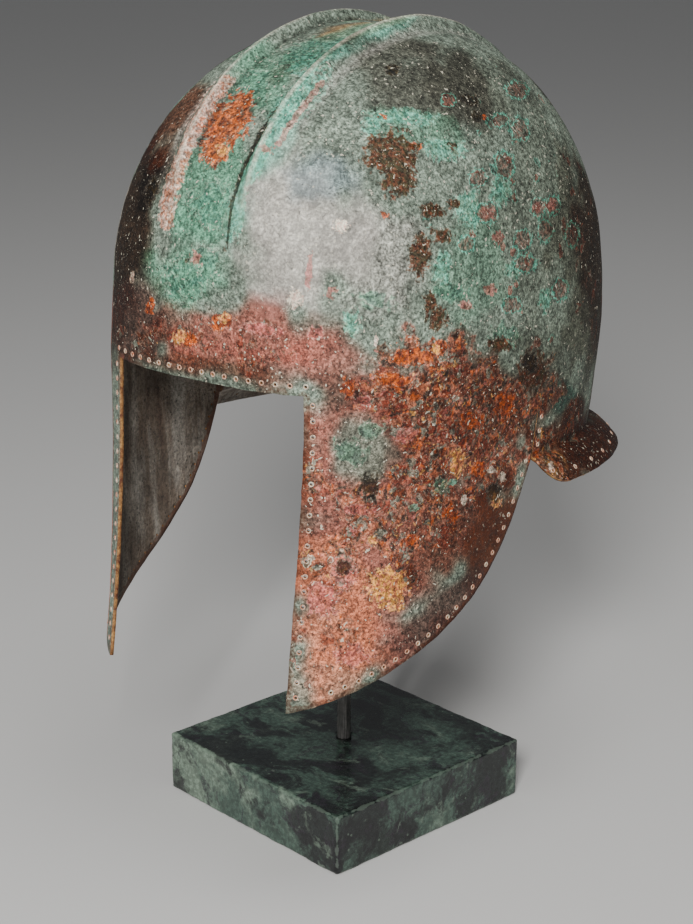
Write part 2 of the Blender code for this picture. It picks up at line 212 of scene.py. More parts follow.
WASHES = (
    Wash("left edge in shade", Tone.BROWN, 128, 215, 27, 135, 10, 0.9),
    Wash("left dark band", Tone.NIGHT, 153, 178, 13, 42, 18, 0.75),
    Wash("channel between the ribs", Tone.VERDIGRIS, 214, 180, 36, 88, 22, 0.85),
    Wash("channel near the crown", Tone.OLIVE, 310, 52, 60, 14, -28, 0.35),
    Wash("tan trough near the crown", Tone.GOLD, 366, 27, 48, 7, -12, 0.75),
    Wash("brown left of the far rib", Tone.RUST_BROWN, 178, 118, 18, 54, 32, 0.85),
    Wash("green left of the crown", Tone.VERDIGRIS, 262, 80, 40, 40, 40, 0.7),
    Wash("near rib", Tone.TURQUOISE, 268, 158, 17, 95, 24, 0.75),
    Wash("crown ridge", Tone.TURQUOISE, 352, 40, 75, 13, -20, 0.6),
    Wash("shoulder", Tone.PALE_GREY, 300, 235, 68, 82, 0, 0.95),
    Wash("shoulder blue", Tone.BLUE_GREY, 322, 178, 40, 30, 0, 0.65),
    Wash("middle", Tone.PALE_GREY, 378, 262, 48, 60, 0, 0.6),
    Wash("crown dark side", Tone.SLATE, 432, 88, 84, 46, 22, 0.9),
    Wash("green below the crown", Tone.VERDIGRIS, 420, 130, 55, 18, 8, 0.5),
    Wash("right side", Tone.GREY_GREEN, 505, 235, 80, 105, 0, 0.65),
    Wash("right side green", Tone.VERDIGRIS, 470, 270, 40, 55, 0, 0.4),
    Wash("right edge in shade", Tone.BROWN, 596, 260, 20, 130, -6, 0.9),
    Wash("front green", Tone.VERDIGRIS, 190, 278, 44, 40, 0, 0.85),
    Wash("front upper green", Tone.VERDIGRIS, 205, 220, 26, 34, 10, 0.7),
    Wash("band above the brow", Tone.ROSE, 252, 338, 105, 38, 8, 0.85),
    Wash("brow corner left", Tone.MAUVE, 140, 322, 34, 46, 0, 0.9),
    Wash("brow middle", Tone.ROSE, 205, 352, 45, 22, 8, 0.7),
    Wash("brow's lower edge", Tone.RUST_BROWN, 222, 368, 80, 13, 8, 0.75),
    Wash("brow's brown spots", Tone.BRICK, 168, 322, 22, 26, 0, 0.6),
    Wash("cheek", Tone.ROSE, 370, 520, 120, 160, 12, 0.85),
    Wash("lower right", Tone.BRICK, 468, 420, 95, 78, 10, 0.88),
    Wash("cheek grey", Tone.GREY_GREEN, 362, 447, 33, 32, 0, 0.85),
    Wash("grey above the cheek", Tone.GREY_GREEN, 345, 352, 40, 22, 0, 0.4),
    Wash("right low green", Tone.GREY_GREEN, 548, 325, 40, 45, 0, 0.55),
    Wash("smooth brown", Tone.RUST_BROWN, 494, 548, 30, 72, 18, 0.95),
    Wash("cheek salmon", Tone.SALMON, 335, 600, 52, 85, 8, 0.75),
    Wash("cheek foot", Tone.SALMON, 330, 670, 52, 34, -18, 0.6),
    Wash("front edge of the cheek", Tone.RUST_BROWN, 308, 500, 9, 110, 0, 0.55),
    Wash("tip", Tone.GREY_GREEN, 293, 688, 19, 30, 0, 0.75),
    Wash("cheek middle brown", Tone.RUST_BROWN, 440, 540, 42, 60, 25, 0.55),
    Wash("back of the cheek's foot", Tone.MAUVE, 446, 606, 66, 28, -38, 0.85),
    Wash("rose beside the brow's corner", Tone.ROSE, 318, 364, 56, 34, 0, 0.72),
    Wash("nape", Tone.TEAL, 563, 400, 18, 20, 0, 0.7),
    Wash("neck guard", Tone.RUST_BROWN, 585, 442, 50, 42, 0, 0.95),
    # Painted highlight: a golden sheen on the neck guard's lower corner.
    Wash("painted golden highlight on the neck guard's corner", Tone.GOLD, 552, 462, 14, 12, 0, 0.7),
)

BURNISH = (
    Wash("shoulder", Tone.PALE_GREY, 300, 235, 78, 92, 0, 1.0),
    Wash("smooth brown", Tone.RUST_BROWN, 494, 552, 30, 66, 18, 0.9),
    Wash("near rib", Tone.TURQUOISE, 250, 200, 22, 60, 15, 0.7),
)

CRUST = (
    Wash("lower right", Tone.BRICK, 460, 420, 125, 95, 10, 1.0),
    Wash("cheek", Tone.ROSE, 385, 505, 95, 110, 0, 0.95),
    Wash("brow", Tone.ROSE, 215, 342, 115, 34, 8, 0.75),
    Wash("above the cheek", Tone.ORANGE, 405, 362, 60, 32, 0, 0.9),
    Wash("cheek foot", Tone.SALMON, 325, 640, 55, 70, 0, 0.62),
    Wash("right edge", Tone.BROWN, 590, 260, 30, 140, -6, 0.6),
    Wash("rust between the ribs", Tone.ORANGE, 222, 130, 26, 44, 28, 0.7),
)

CLEAR = (
    Wash("grey patch on the cheek", Tone.GREY_GREEN, 358, 447, 38, 30, -15, 0.9),
    Wash("smooth brown", Tone.RUST_BROWN, 494, 548, 30, 66, 18, 0.9),
)

RINGS = (
    Wash("right side", Tone.TURQUOISE, 512, 200, 72, 130, 0, 1.0),
    Wash("right low", Tone.TURQUOISE, 520, 320, 60, 50, 0, 0.6),
    Wash("cheek foot", Tone.BONE, 312, 625, 34, 85, 0, 0.9),
    Wash("crown side", Tone.TURQUOISE, 410, 110, 60, 30, 0, 0.5),
)

# Painted shade: dark washes multiplied into the outer colour along both outlines, on the crown's right side,
# in the trough between the ribs, below the brow, on the lower right, the cheek and the neck guard.
PAINTED_SHADE = (
    Wash("left outline", Tone.NIGHT, 118, 235, 34, 160, 10, 0.72),
    Wash("left of the far rib", Tone.NIGHT, 148, 185, 20, 70, 20, 0.50),
    Wash("right outline", Tone.NIGHT, 612, 270, 62, 200, -6, 0.66),
    Wash("right side", Tone.NIGHT, 556, 225, 66, 150, -6, 0.30),
    Wash("crown, right side", Tone.NIGHT, 478, 88, 70, 40, 28, 0.40),
    Wash("trough near the crown", Tone.NIGHT, 300, 62, 66, 11, -29, 0.45),
    Wash("trough lower down", Tone.NIGHT, 252, 105, 10, 28, 35, 0.40),
    Wash("below the brow's corner", Tone.NIGHT, 338, 388, 30, 26, 0, 0.50),
    Wash("lower right", Tone.NIGHT, 512, 398, 78, 70, 10, 0.52),
    Wash("upper cheek", Tone.NIGHT, 425, 455, 90, 85, 10, 0.28),
    Wash("brow's lower edge", Tone.NIGHT, 225, 372, 85, 14, 8, 0.35),
    Wash("back of the cheek", Tone.NIGHT, 458, 538, 46, 90, 30, 0.40),
    Wash("brow's left corner", Tone.NIGHT, 142, 330, 40, 40, 0, 0.35),
    Wash("neck guard", Tone.NIGHT, 592, 436, 44, 44, 0, 0.78),
)

MARKS = {
    Layer.BLISTER: (
        Mark(517, 90, 13, 10, 10), Mark(505, 165, 12, 15), Mark(523, 240, 10, 12),
        Mark(545, 231, 9, 13), Mark(525, 264, 13, 10), Mark(487, 213, 13, 11), Mark(538, 207, 9, 11),
        Mark(553, 205, 8, 11), Mark(520, 130, 11, 13), Mark(478, 178, 11, 9), Mark(560, 290, 9, 12),
        Mark(512, 305, 11, 9), Mark(466, 244, 9, 10), Mark(572, 235, 8, 14), Mark(500, 120, 10, 8),
        Mark(448, 100, 9, 8)),
    Layer.VERDIGRIS: (
        Mark(213, 205, 22, 24, 10), Mark(186, 282, 26, 24), Mark(205, 262, 16, 18),
        Mark(250, 90, 20, 28, 38), Mark(300, 55, 26, 14, -30), Mark(452, 292, 18, 12),
        Mark(375, 300, 22, 9, 12), Mark(350, 452, 18, 14, 20), Mark(371, 430, 14, 10),
        Mark(505, 335, 16, 14), Mark(440, 485, 10, 8, 30)),
    Layer.TURQUOISE: (
        Mark(311, 95, 11, 32, 36), Mark(262, 152, 8, 42, 20), Mark(240, 210, 6, 34, 8),
        Mark(402, 117, 38, 9, 4), Mark(445, 150, 24, 12), Mark(372, 128, 12, 12),
        Mark(305, 62, 22, 9, -34), Mark(512, 270, 9, 9), Mark(470, 210, 16, 20),
        Mark(442, 268, 9, 20, 10), Mark(352, 322, 9, 12), Mark(414, 508, 8, 4, -20),
        Mark(500, 192, 12, 14), Mark(452, 482, 5, 4), Mark(545, 300, 7, 12)),
    Layer.ORANGE: (
        Mark(228, 122, 20, 30, 32), Mark(214, 152, 14, 17, 10), Mark(244, 102, 10, 12, 30),
        Mark(415, 146, 8, 5), Mark(412, 357, 25, 10, -8), Mark(438, 347, 11, 9), Mark(395, 379, 20, 8),
        Mark(382, 117, 6, 3), Mark(386, 215, 8, 4), Mark(485, 118, 5, 3), Mark(150, 306, 5, 9),
        Mark(190, 340, 9, 9), Mark(220, 322, 14, 9, -15), Mark(470, 420, 14, 10),
        Mark(505, 405, 12, 16), Mark(452, 515, 12, 8, 30), Mark(410, 540, 14, 6, -30),
        Mark(348, 388, 9, 12), Mark(478, 470, 9, 12)),
    Layer.OLIVE: (
        Mark(392, 155, 30, 24, 10), Mark(398, 180, 17, 17), Mark(432, 211, 14, 8),
        Mark(420, 256, 12, 24, 8), Mark(443, 236, 10, 8), Mark(452, 145, 6, 4), Mark(437, 318, 10, 13),
        Mark(430, 302, 6, 10), Mark(500, 345, 13, 9), Mark(534, 372, 17, 21), Mark(453, 204, 6, 5)),
    Layer.OCHRE: (
        Mark(388, 588, 21, 23, 10), Mark(180, 337, 7, 8), Mark(458, 463, 8, 14),
        Mark(224, 318, 8, 5, -20), Mark(222, 150, 8, 7), Mark(374, 540, 6, 7), Mark(435, 350, 6, 6),
        Mark(496, 500, 6, 9)),
    Layer.PINK: (
        Mark(309, 272, 4, 18, 6), Mark(331, 292, 8, 5, -20), Mark(487, 213, 8, 7), Mark(498, 237, 6, 8),
        Mark(537, 207, 5, 6), Mark(551, 205, 6, 7), Mark(406, 435, 14, 7, -22), Mark(363, 402, 9, 9),
        Mark(360, 510, 18, 6), Mark(345, 572, 13, 17), Mark(262, 330, 24, 7, 12), Mark(317, 333, 10, 8),
        Mark(322, 600, 16, 20), Mark(465, 305, 8, 5), Mark(490, 290, 7, 6), Mark(352, 655, 20, 12),
        Mark(196, 258, 7, 7)),
    Layer.NIGHT: (
        Mark(477, 118, 6, 5), Mark(152, 190, 7, 16, 15), Mark(370, 487, 11, 15),
        Mark(188, 260, 2.5, 2.5), Mark(225, 247, 6, 3.5, 30), Mark(494, 492, 8, 12),
        Mark(530, 362, 9, 12), Mark(392, 70, 10, 6), Mark(470, 100, 12, 6, 20), Mark(345, 568, 9, 8)),
    Layer.BONE: (
        Mark(295, 299, 8, 11, 10), Mark(341, 226, 9, 7), Mark(492, 470, 5, 4), Mark(502, 477, 4, 5),
        Mark(376, 341, 3, 6), Mark(465, 500, 4, 6), Mark(132, 277, 3, 6), Mark(551, 466, 3, 7)),
}

# The near rib's crest streak carries a painted highlight and its crease streak painted shade; the far rib's
# inner face is a pinkish crust with painted light.
STREAKS = (
    Streak("pink hook beside the near rib", Layer.PINK, 3.4,
           ((322, 82), (290, 125), (277, 147), (268, 150), (262, 146))),
    Streak("pinkish inner face of the far rib with painted light", Layer.SHELL, 8.0,
           ((166, 222), (170, 195), (181, 160), (194, 130), (208, 103), (226, 82))),
    Streak("turquoise crest of the near rib with painted highlight", Layer.TURQUOISE, 4.0,
           ((229, 240), (235, 208), (247, 173), (262, 142), (277, 114), (293, 92), (311, 70), (330, 53))),
    Streak("painted shade in the crease of the near rib", Layer.NIGHT, 1.5,
           ((227, 247), (231, 208), (242, 172), (257, 141), (271, 113), (287, 90))),
)


@dataclass(frozen=True)
class PictureCamera:
    """The camera that took the picture, as solved from the slab's corners and the helmet's symmetry."""

    place: tuple[float, float, float] = (0.5201, -0.6835, 0.4393)
    azimuth: float = 37.22
    elevation: float = 17.77
    roll: float = 0.23
    focal_pixels: float = 2000.0
    wide_pixels: int = 693
    tall_pixels: int = 924
    sensor_mm: float = 36.0

    @cached_property
    def axes(self) -> tuple[np.ndarray, np.ndarray, np.ndarray]:
        """Right, up and back unit vectors."""
        turns = (self.azimuth, self.elevation, self.roll)
        azimuth, elevation, roll = (math.radians(turn) for turn in turns)
        level = math.cos(elevation)
        back = np.array([math.sin(azimuth) * level, -math.cos(azimuth) * level, math.sin(elevation)])
        right = np.array([math.cos(azimuth), math.sin(azimuth), 0.0])
        up = np.cross(back, right)
        cos, sin = math.cos(roll), math.sin(roll)
        return right * cos + up * sin, up * cos - right * sin, back

    def pixels(self, points: np.ndarray) -> np.ndarray:
        """Where points fall in the picture.

        Args:
            points: places in metres, one per row.

        Returns:
            Pixels across and down, one pair per row.
        """
        right, up, back = self.axes
        offset = points - np.array(self.place)
        depth = -(offset @ back)
        return np.stack([self.wide_pixels / 2 + self.focal_pixels * (offset @ right) / depth,
                         self.tall_pixels / 2 - self.focal_pixels * (offset @ up) / depth], axis=1)

    def facing(self, points: np.ndarray, normals: np.ndarray) -> np.ndarray:
        """How far each normal turns to the camera.

        Args:
            points: places in metres, one per row.
            normals: unit normals, one per row.

        Returns:
            The cosine for each point, 1 where the normal looks at the camera.
        """
        away = np.array(self.place) - points
        away /= np.linalg.norm(away, axis=1)[:, None]
        return np.sum(away * normals, axis=1)

    def add(self) -> bpy.types.Object:
        """Adds the camera to the scene and looks through it."""
        data = bpy.data.cameras.new("picture_camera")
        data.sensor_fit = 'VERTICAL'
        data.sensor_height = self.sensor_mm
        data.lens = self.focal_pixels / self.tall_pixels * self.sensor_mm
        camera = shown("picture_camera", data)
        right, up, back = self.axes
        camera.matrix_world = Matrix.Translation(self.place) @ Matrix(
            [[right[row], up[row], back[row], 0.0] for row in range(3)] + [[0.0, 0.0, 0.0, 1.0]])
        bpy.context.scene.camera = camera
        return camera


def blend(low: float, high: float, share: float) -> float:
    """Value a share of the way between two."""
    return low + (high - low) * share


def ease(low: float, high: float, value: float) -> float:
    """Smooth step from 0 at low to 1 at high."""
    share = min(max((value - low) / (high - low), 0.0), 1.0)
    return share * share * (3 - 2 * share)


def lengths(points: list[Vector]) -> list[float]:
    """Length of the line through some points, up to each of them."""
    runs = [0.0]
    for near, far in zip(points, points[1:]):
        runs.append(runs[-1] + (far - near).length)
    return runs


def shown(name: str, data: bpy.types.ID) -> bpy.types.Object:
    """A new object of the scene with the given data."""
    item = bpy.data.objects.new(name, data)
    bpy.context.scene.collection.objects.link(item)
    return item


def from_bmesh(mesh: bmesh.types.BMesh, name: str, materials: list[bpy.types.Material]) -> bpy.types.Object:
    """Makes an object from an edit mesh, which is freed.

    Args:
        mesh: the edit mesh.
        name: name of the object and its data.
        materials: its materials in order.

    Returns:
        The object.
    """
    data = bpy.data.meshes.new(name)
    mesh.to_mesh(data)
    mesh.free()
    for material in materials:
        data.materials.append(material)
    return shown(name, data)


def cut_with(target: bpy.types.Object, cutter: bpy.types.Object, name: str) -> bpy.types.Object:
    """Cuts an object and smooths its shading.

    Args:
        target: what is cut; it is removed.
        cutter: what it is cut with; it is removed as well.
        name: name of the result.

    Returns:
        The cut object.
    """
    cut = target.modifiers.new("cut", 'BOOLEAN')
    cut.operation = 'DIFFERENCE'
    cut.solver = 'EXACT'
    cut.object = cutter
    result = baked(target, name)
    bpy.data.objects.remove(cutter, do_unlink=True)
    for polygon in result.data.polygons:
        polygon.use_smooth = True
    return result


def baked(source: bpy.types.Object, name: str) -> bpy.types.Object:
    """The object's evaluated mesh as a plain object; the source is removed."""
    bpy.context.view_layer.update()
    depsgraph = bpy.context.evaluated_depsgraph_get()
    data = bpy.data.meshes.new_from_object(source.evaluated_get(depsgraph), depsgraph=depsgraph)
    data.name = name
    bpy.data.objects.remove(source, do_unlink=True)
    return shown(name, data)


@dataclass(frozen=True)
class BowlForm:
    """Sizes and surface of the helmet, the same as the solids have."""

    width: float = 0.1814
    length: float = 0.2446
    rise: float = 0.1331
    cheek_drop: float = 0.1320
    opening_width: float = 0.0984
    nape_drop: float = 0.0440
    nape_fall: float = 0.0080
    tip_sweep: float = 0.0122
    notch_shift: float = -0.0045
    tip_z: float = 0.0920
    front_share: float = 0.488
    centre_share: float = 0.083
    front_power_brow: float = 2.85
    front_power_crown: float = 2.65
    back_power: float = 2.09
    side_profile: tuple[float, ...] = (0.0, 0.674, -0.075, 0.016)
    front_profile: tuple[float, ...] = (0.274, 0.935, 0.0, 0.081)
    back_profile: tuple[float, ...] = (0.103, 1.06, 0.0, -0.30)
    front_handle_top: tuple[float, float] = (0.0, -0.26)
    front_handle_tip: tuple[float, float] = (0.0315, 0.40)
    lower_handle_tip: tuple[float, float] = (0.319, 0.20)
    lower_handle_notch: tuple[float, float] = (-0.091, -0.401)
    guard_side: float = 0.0115
    guard_back: float = 0.0175
    guard_drop: float = 0.0110
    guard_corner: float = 0.013
    rib_height: float = 0.0052
    rib_crest_front: float = 0.0165
    rib_crest_top: float = 0.0195
    rib_inner: float = 0.0055
    rib_outer: float = 0.0085
    rib_start: float = math.radians(30)
    rib_full: float = math.radians(60)
    rib_fall: float = math.radians(125)
    rib_end: float = math.radians(158)
    rib_toe: float = 0.42
    toe_turn: float = math.radians(9)

    @cached_property
    def brow_z(self) -> float:
        """Height of the face opening's upper edge."""
        return self.tip_z + self.cheek_drop

    @cached_property
    def crown_z(self) -> float:
        """Height of the crown between the ribs."""
        return self.brow_z + self.rise

    @cached_property
    def centre_y(self) -> float:
        """Where the bowl is widest."""
        return self.centre_share * self.length

    def reach_at(self, z: float, size: float, profile: tuple[float, ...]) -> float:
        """A reach of the bowl at a height.

        Args:
            z: the height.
            size: the reach where the bowl is widest.
            profile: where it is widest, the power above that, and two factors of the taper below it.

        Returns:
            The reach in metres.
        """
        widest_share, power, first, second = profile
        widest = self.brow_z + widest_share * self.rise
        if z > widest:
            rise = min((z - widest) / (self.crown_z - widest), 1.0)
            return size * math.sqrt(max(1 - rise * rise, 0.0)) ** power
        depth = (widest - z) / self.cheek_drop
        return size * (1 + first * depth + second * depth * depth)

    def section(self, z: float) -> tuple[float, float, float, float]:
        """Half width, front reach, back reach and front power at height z."""
        rise = min(max((z - self.brow_z) / self.rise, 0.0), 1.0)
        return (self.reach_at(z, self.width / 2, self.side_profile),
                self.reach_at(z, self.front_share * self.length, self.front_profile),
                self.reach_at(z, (1 - self.front_share) * self.length, self.back_profile),
                blend(self.front_power_brow, self.front_power_crown, rise))

    def side_x(self, y: float, z: float) -> float:
        """Half width of the bowl at y, z, and 0 outside its outline."""
        half, reach, back, power = self.section(z)
        if y > self.centre_y:
            reach, power = back, self.back_power
        share = abs(y - self.centre_y) / max(reach, 1e-9)
        if share >= 1:
            return 0.0
        return half * (1 - share ** power) ** (1 / power)

    def on_surface(self, flat: Vector) -> Vector:
        """The bowl's point at (y, z)."""
        return Vector((self.side_x(flat.x, flat.y), flat.x, flat.y))

    def ray_point(self, turn: float, distance: float) -> tuple[float, float]:
        """Point (y, z) from the side point's foot: turn 0 is forward and pi is back."""
        return self.centre_y - distance * math.cos(turn), self.brow_z + distance * math.sin(turn)

    def ray_profile(self, turn: float, steps: int = 240) -> list[tuple[float, float, float]]:
        """Points along a ray, from the side to the middle plane.

        Args:
            turn: the ray's turn, 0 forward and pi back.
            steps: how many steps it is cut into.

        Returns:
            Distance from the foot, distance from the middle plane and run on the surface, for each point.
        """
        low, high = 0.0, self.length
        for _ in range(HALVINGS):
            middle = (low + high) / 2
            if self.side_x(*self.ray_point(turn, middle)) > 0:
                low = middle
            else:
                high = middle
        profile = []
        run = 0.0
        for step in range(steps + 1):
            distance = low * math.sin(math.pi / 2 * step / steps)
            x = self.side_x(*self.ray_point(turn, distance)) if step < steps else 0.0
            if profile:
                run += math.hypot(distance - profile[-1][0], x - profile[-1][1])
            profile.append((distance, x, run))
        return profile

    def rib_crest(self, turn: float) -> float:
        """Distance of the rib's crest from the middle plane."""
        return blend(self.rib_crest_front, self.rib_crest_top, math.sin(turn))

    def rib_rise(self, turn: float) -> float:
        """Height of the rib, with a low toe at its front end."""
        toe = ease(self.rib_start, self.rib_start + self.toe_turn, turn)
        body = ease(self.rib_start, self.rib_full, turn)
        fall = ease(self.rib_fall, self.rib_end, turn)
        return self.rib_height * blend(body, 1.0, self.rib_toe) * toe * (1 - fall)

    @cached_property
    def opening_corner(self) -> Vector:
        """The face opening's upper corner in (y, z)."""
        half, front, _, power = self.section(self.brow_z)
        reach = (1 - (self.opening_width / 2 / half) ** power) ** (1 / power)
        return Vector((self.centre_y - front * reach, self.brow_z))

    @cached_property
    def notch(self) -> Vector:
        """The notch behind the cheekpiece in (y, z)."""
        return Vector((self.centre_y + self.notch_shift, self.brow_z - self.nape_drop))

    @cached_property
    def cheek_tip(self) -> Vector:
        """The cheekpiece's tip in (y, z)."""
        return Vector((self.opening_corner.x - self.tip_sweep, self.tip_z))

    def edge(self, start: Vector, first: tuple[float, float], second: tuple[float, float], end: Vector,
             share: float) -> Vector:
        """Point on an outline curve in (y, z).

        Args:
            start: where the curve starts.
            first: handle at the start, in shares of the length and of the cheek's drop.
            second: handle at the end, in the same shares.
            end: where it ends.
            share: how far along the curve, from 0 to 1.

        Returns:
            The point.
        """
        near = start + Vector((first[0] * self.length, first[1] * self.cheek_drop))
        far = end + Vector((second[0] * self.length, second[1] * self.cheek_drop))
        rest = 1 - share
        return (start * rest ** 3 + near * 3 * rest * rest * share
                + far * 3 * rest * share * share + end * share ** 3)

    def cheek_front(self, share: float) -> Vector:
        """Front edge of the cheekpiece, from the opening's corner to the tip."""
        return self.edge(self.opening_corner, self.front_handle_top, self.front_handle_tip,
                         self.cheek_tip, share)

    def cheek_lower(self, share: float) -> Vector:
        """Lower edge of the cheekpiece, from the tip to the notch."""
        return self.edge(self.cheek_tip, self.lower_handle_tip, self.lower_handle_notch,
                         self.notch, share)

    def slit_line(self, share: float) -> Vector:
        """Line from the side point down to the notch."""
        return Vector((self.centre_y, self.brow_z)).lerp(self.notch, share)

    def even_shares(self, curve: Curve, count: int, first: float, last: float) -> list[float]:
        """Shares of a curve that are evenly spaced on the surface.

        Args:
            curve: one of the outline curves.
            count: how many shares.
            first: first share.
            last: last share.

        Returns:
            The shares, first and last among them.
        """
        numbers = range(CURVE_STEPS + 1)
        points = [self.on_surface(curve(blend(first, last, step / CURVE_STEPS))) for step in numbers]
        runs = lengths(points)
        wanted = [runs[-1] * index / max(count - 1, 1) for index in range(count)]
        return [blend(first, last, float(np.interp(run, runs, numbers)) / CURVE_STEPS) for run in wanted]


@dataclass
class HelmetWall:
    """The beaten bronze wall: its sheet, its thickness, its stains."""

    form: BowlForm
    camera: PictureCamera
    wall: float = 0.0016
    slit_length: float = 0.020
    slit_width: float = 0.0006
    rays: int = 130
    rings: int = 74
    cheek_rings: int = 58
    rows: int = 44
    rib_columns: int = 17
    channel_columns: int = 5
    guard_rows: int = 9
    rib_section: tuple[tuple[float, float], ...] = (
        (-1.0, 0.0), (-0.75, 0.06), (-0.5, 0.34), (-0.25, 0.86), (-0.125, 0.98), (0.0, 1.0), (0.25, 0.90),
        (0.5, 0.62), (0.75, 0.24), (0.875, 0.08), (1.0, 0.0))
    guard_section: tuple[tuple[float, float], ...] = ((0.0, 0.0), (0.34, 0.18), (0.70, 0.52), (1.0, 1.0))
    waves: tuple[tuple[float, float], ...] = ((26.0, 0.00040), (62.0, 0.00022), (150.0, 0.00009))
    ragged_scale: float = 240.0
    ragged_reach: float = 0.00030
    nape_crowding: float = 1.25

    def ring_share(self, ring: int, turn: float, opening_share: float) -> float:
        """Where a ring crosses a ray.

        Args:
            ring: the ring's number.
            turn: the ray's turn, 0 forward and pi back.
            opening_share: share of the front ray's run where the face opening's corner is.

        Returns:
            Share of the ray's run, from the side point to the rib.
        """
        opening = opening_share * ring / self.cheek_rings
        if ring > self.cheek_rings:
            opening = blend(opening_share, 1.0, (ring - self.cheek_rings) / (self.rings - self.cheek_rings))
        return blend(opening, (ring / self.rings) ** self.nape_crowding, turn / math.pi)

    def ray_points(self, turn: float, opening_share: float) -> list[Vector]:
        """One ray's points.

        Args:
            turn: the ray's turn, 0 forward and pi back.
            opening_share: share of the front ray's run where the face opening's corner is.

        Returns:
            Points from the side point over the rib to the middle plane.
        """
        form = self.form
        profile = form.ray_profile(turn)
        distances = [point[0] for point in profile]
        widths = [point[1] for point in profile]
        runs = [point[2] for point in profile]
        crest = form.rib_crest(turn)

        def at_x(x: float) -> float:
            """Distance along the ray where the bowl is x from the middle plane."""
            return float(np.interp(-x, [-width for width in widths], distances))

        foot_run = float(np.interp(-(crest + form.rib_outer), [-width for width in widths], runs))
        points = []
        for ring in range(self.rings):
            run = foot_run * self.ring_share(ring, turn, opening_share)
            points.append((float(np.interp(run, runs, widths)), float(np.interp(run, runs, distances))))
        shares, heights = zip(*self.rib_section)
        for column in range(self.rib_columns):
            share = 1 - 2 * column / (self.rib_columns - 1)
            x = crest + share * (form.rib_outer if share > 0 else form.rib_inner)
            points.append((x, at_x(x) + float(np.interp(share, shares, heights)) * form.rib_rise(turn)))
        inner = crest - form.rib_inner
        for column in range(1, self.channel_columns):
            x = inner * (1 - column / self.channel_columns)
            points.append((x, at_x(x)))
        points.append((0.0, distances[-1]))
        return [Vector((x, *form.ray_point(turn, distance))) for x, distance in points]

    def opening_share(self) -> float:
        """Share of the front ray's run where the face opening's corner is."""
        form = self.form
        profile = form.ray_profile(0.0)
        widths = [-point[1] for point in profile]
        runs = [point[2] for point in profile]
        foot = float(np.interp(-(form.rib_crest(0.0) + form.rib_outer), widths, runs))
        return float(np.interp(-form.opening_width / 2, widths, runs)) / foot

    def cheek_grid(self, front_ray: list[Vector]) -> list[list[Vector]]:
        """Rows of the cheekpiece from the brow line down, blended between its four edges."""
        form = self.form
        count = self.cheek_rings
        tops = [Vector((point.y, point.z)) for point in reversed(front_ray[:count + 1])]
        shares = form.even_shares(form.cheek_lower, count + 1, 0.0, 1.0)
        lowers = [form.cheek_lower(share) for share in shares]
        rows = []
        for row in range(1, self.rows + 1):
            down = row / self.rows
            front, back = form.cheek_front(down), form.slit_line(down)
            line = []
            for column in range(count + 1):
                across = column / count
                corners = (tops[0] * (1 - across) * (1 - down) + tops[-1] * across * (1 - down)
                           + lowers[0] * (1 - across) * down + lowers[-1] * across * down)
                line.append(form.on_surface(tops[column] * (1 - down) + lowers[column] * down
                                            + front * (1 - across) + back * across - corners))
            rows.append(line)
        return rows

    def nape_point(self, point: Vector, down: float) -> Vector:
        """A point of the nape below a point of the brow line."""
        form = self.form
        half_top, _, back_top, _ = form.section(form.brow_z)
        along = (point.y - form.centre_y) / back_top
        z = form.brow_z - down * (form.nape_drop + form.nape_fall * along)
        half, _, back, _ = form.section(z)
        if point.x <= 0:
            return Vector((0.0, form.centre_y + back, z))
        y = form.centre_y + along * back + (form.slit_line(down).x - form.centre_y) * (1 - along)
        if along > STRAIGHT_BACK:
            return Vector((point.x * half / half_top, y, z))
        return Vector((form.side_x(y, z), y, z))

    def guard_grid(self, root: list[Vector]) -> list[list[Vector]]:
        """Rows of the flared neck guard below the root line."""
        form = self.form
        runs = lengths(root)
        outs, drops = zip(*self.guard_section)
        rows = []
        for row in range(1, self.guard_rows + 1):
            out = row / self.guard_rows
            fall = float(np.interp(out, outs, drops))
            line = []
            for index, point in enumerate(root):
                before, after = root[max(index - 1, 0)], root[min(index + 1, len(root) - 1)]
                along = (after - before).normalized()
                outward = Vector((-along.y, along.x, 0)) if index < len(root) - 1 else Vector((0, 1, 0))
                outward = outward if outward.y > 0 or outward.x > 0 else -outward
                corner = 1 - min(runs[index] / form.guard_corner, 1.0)
                full = math.sqrt(max(1 - corner * corner, 0.0))
                reach = blend(form.guard_side, form.guard_back, runs[index] / runs[-1]) * full
                line.append(point + outward.normalized() * reach * out
                            - Vector((0, 0, form.guard_drop * full * fall)))
            rows.append(line)
        return rows

    @staticmethod
    def fill(mesh: bmesh.types.BMesh, rows: list[list[bmesh.types.BMVert]]) -> None:
        """Quads between rows of vertices; rows may share vertices at their ends."""
        for upper, lower in zip(rows, rows[1:]):
            for column in range(len(upper) - 1):
                corners = [upper[column], upper[column + 1], lower[column + 1], lower[column]]
                unique = list(dict.fromkeys(corners))
                if len(unique) > 2:
                    mesh.faces.new(unique)

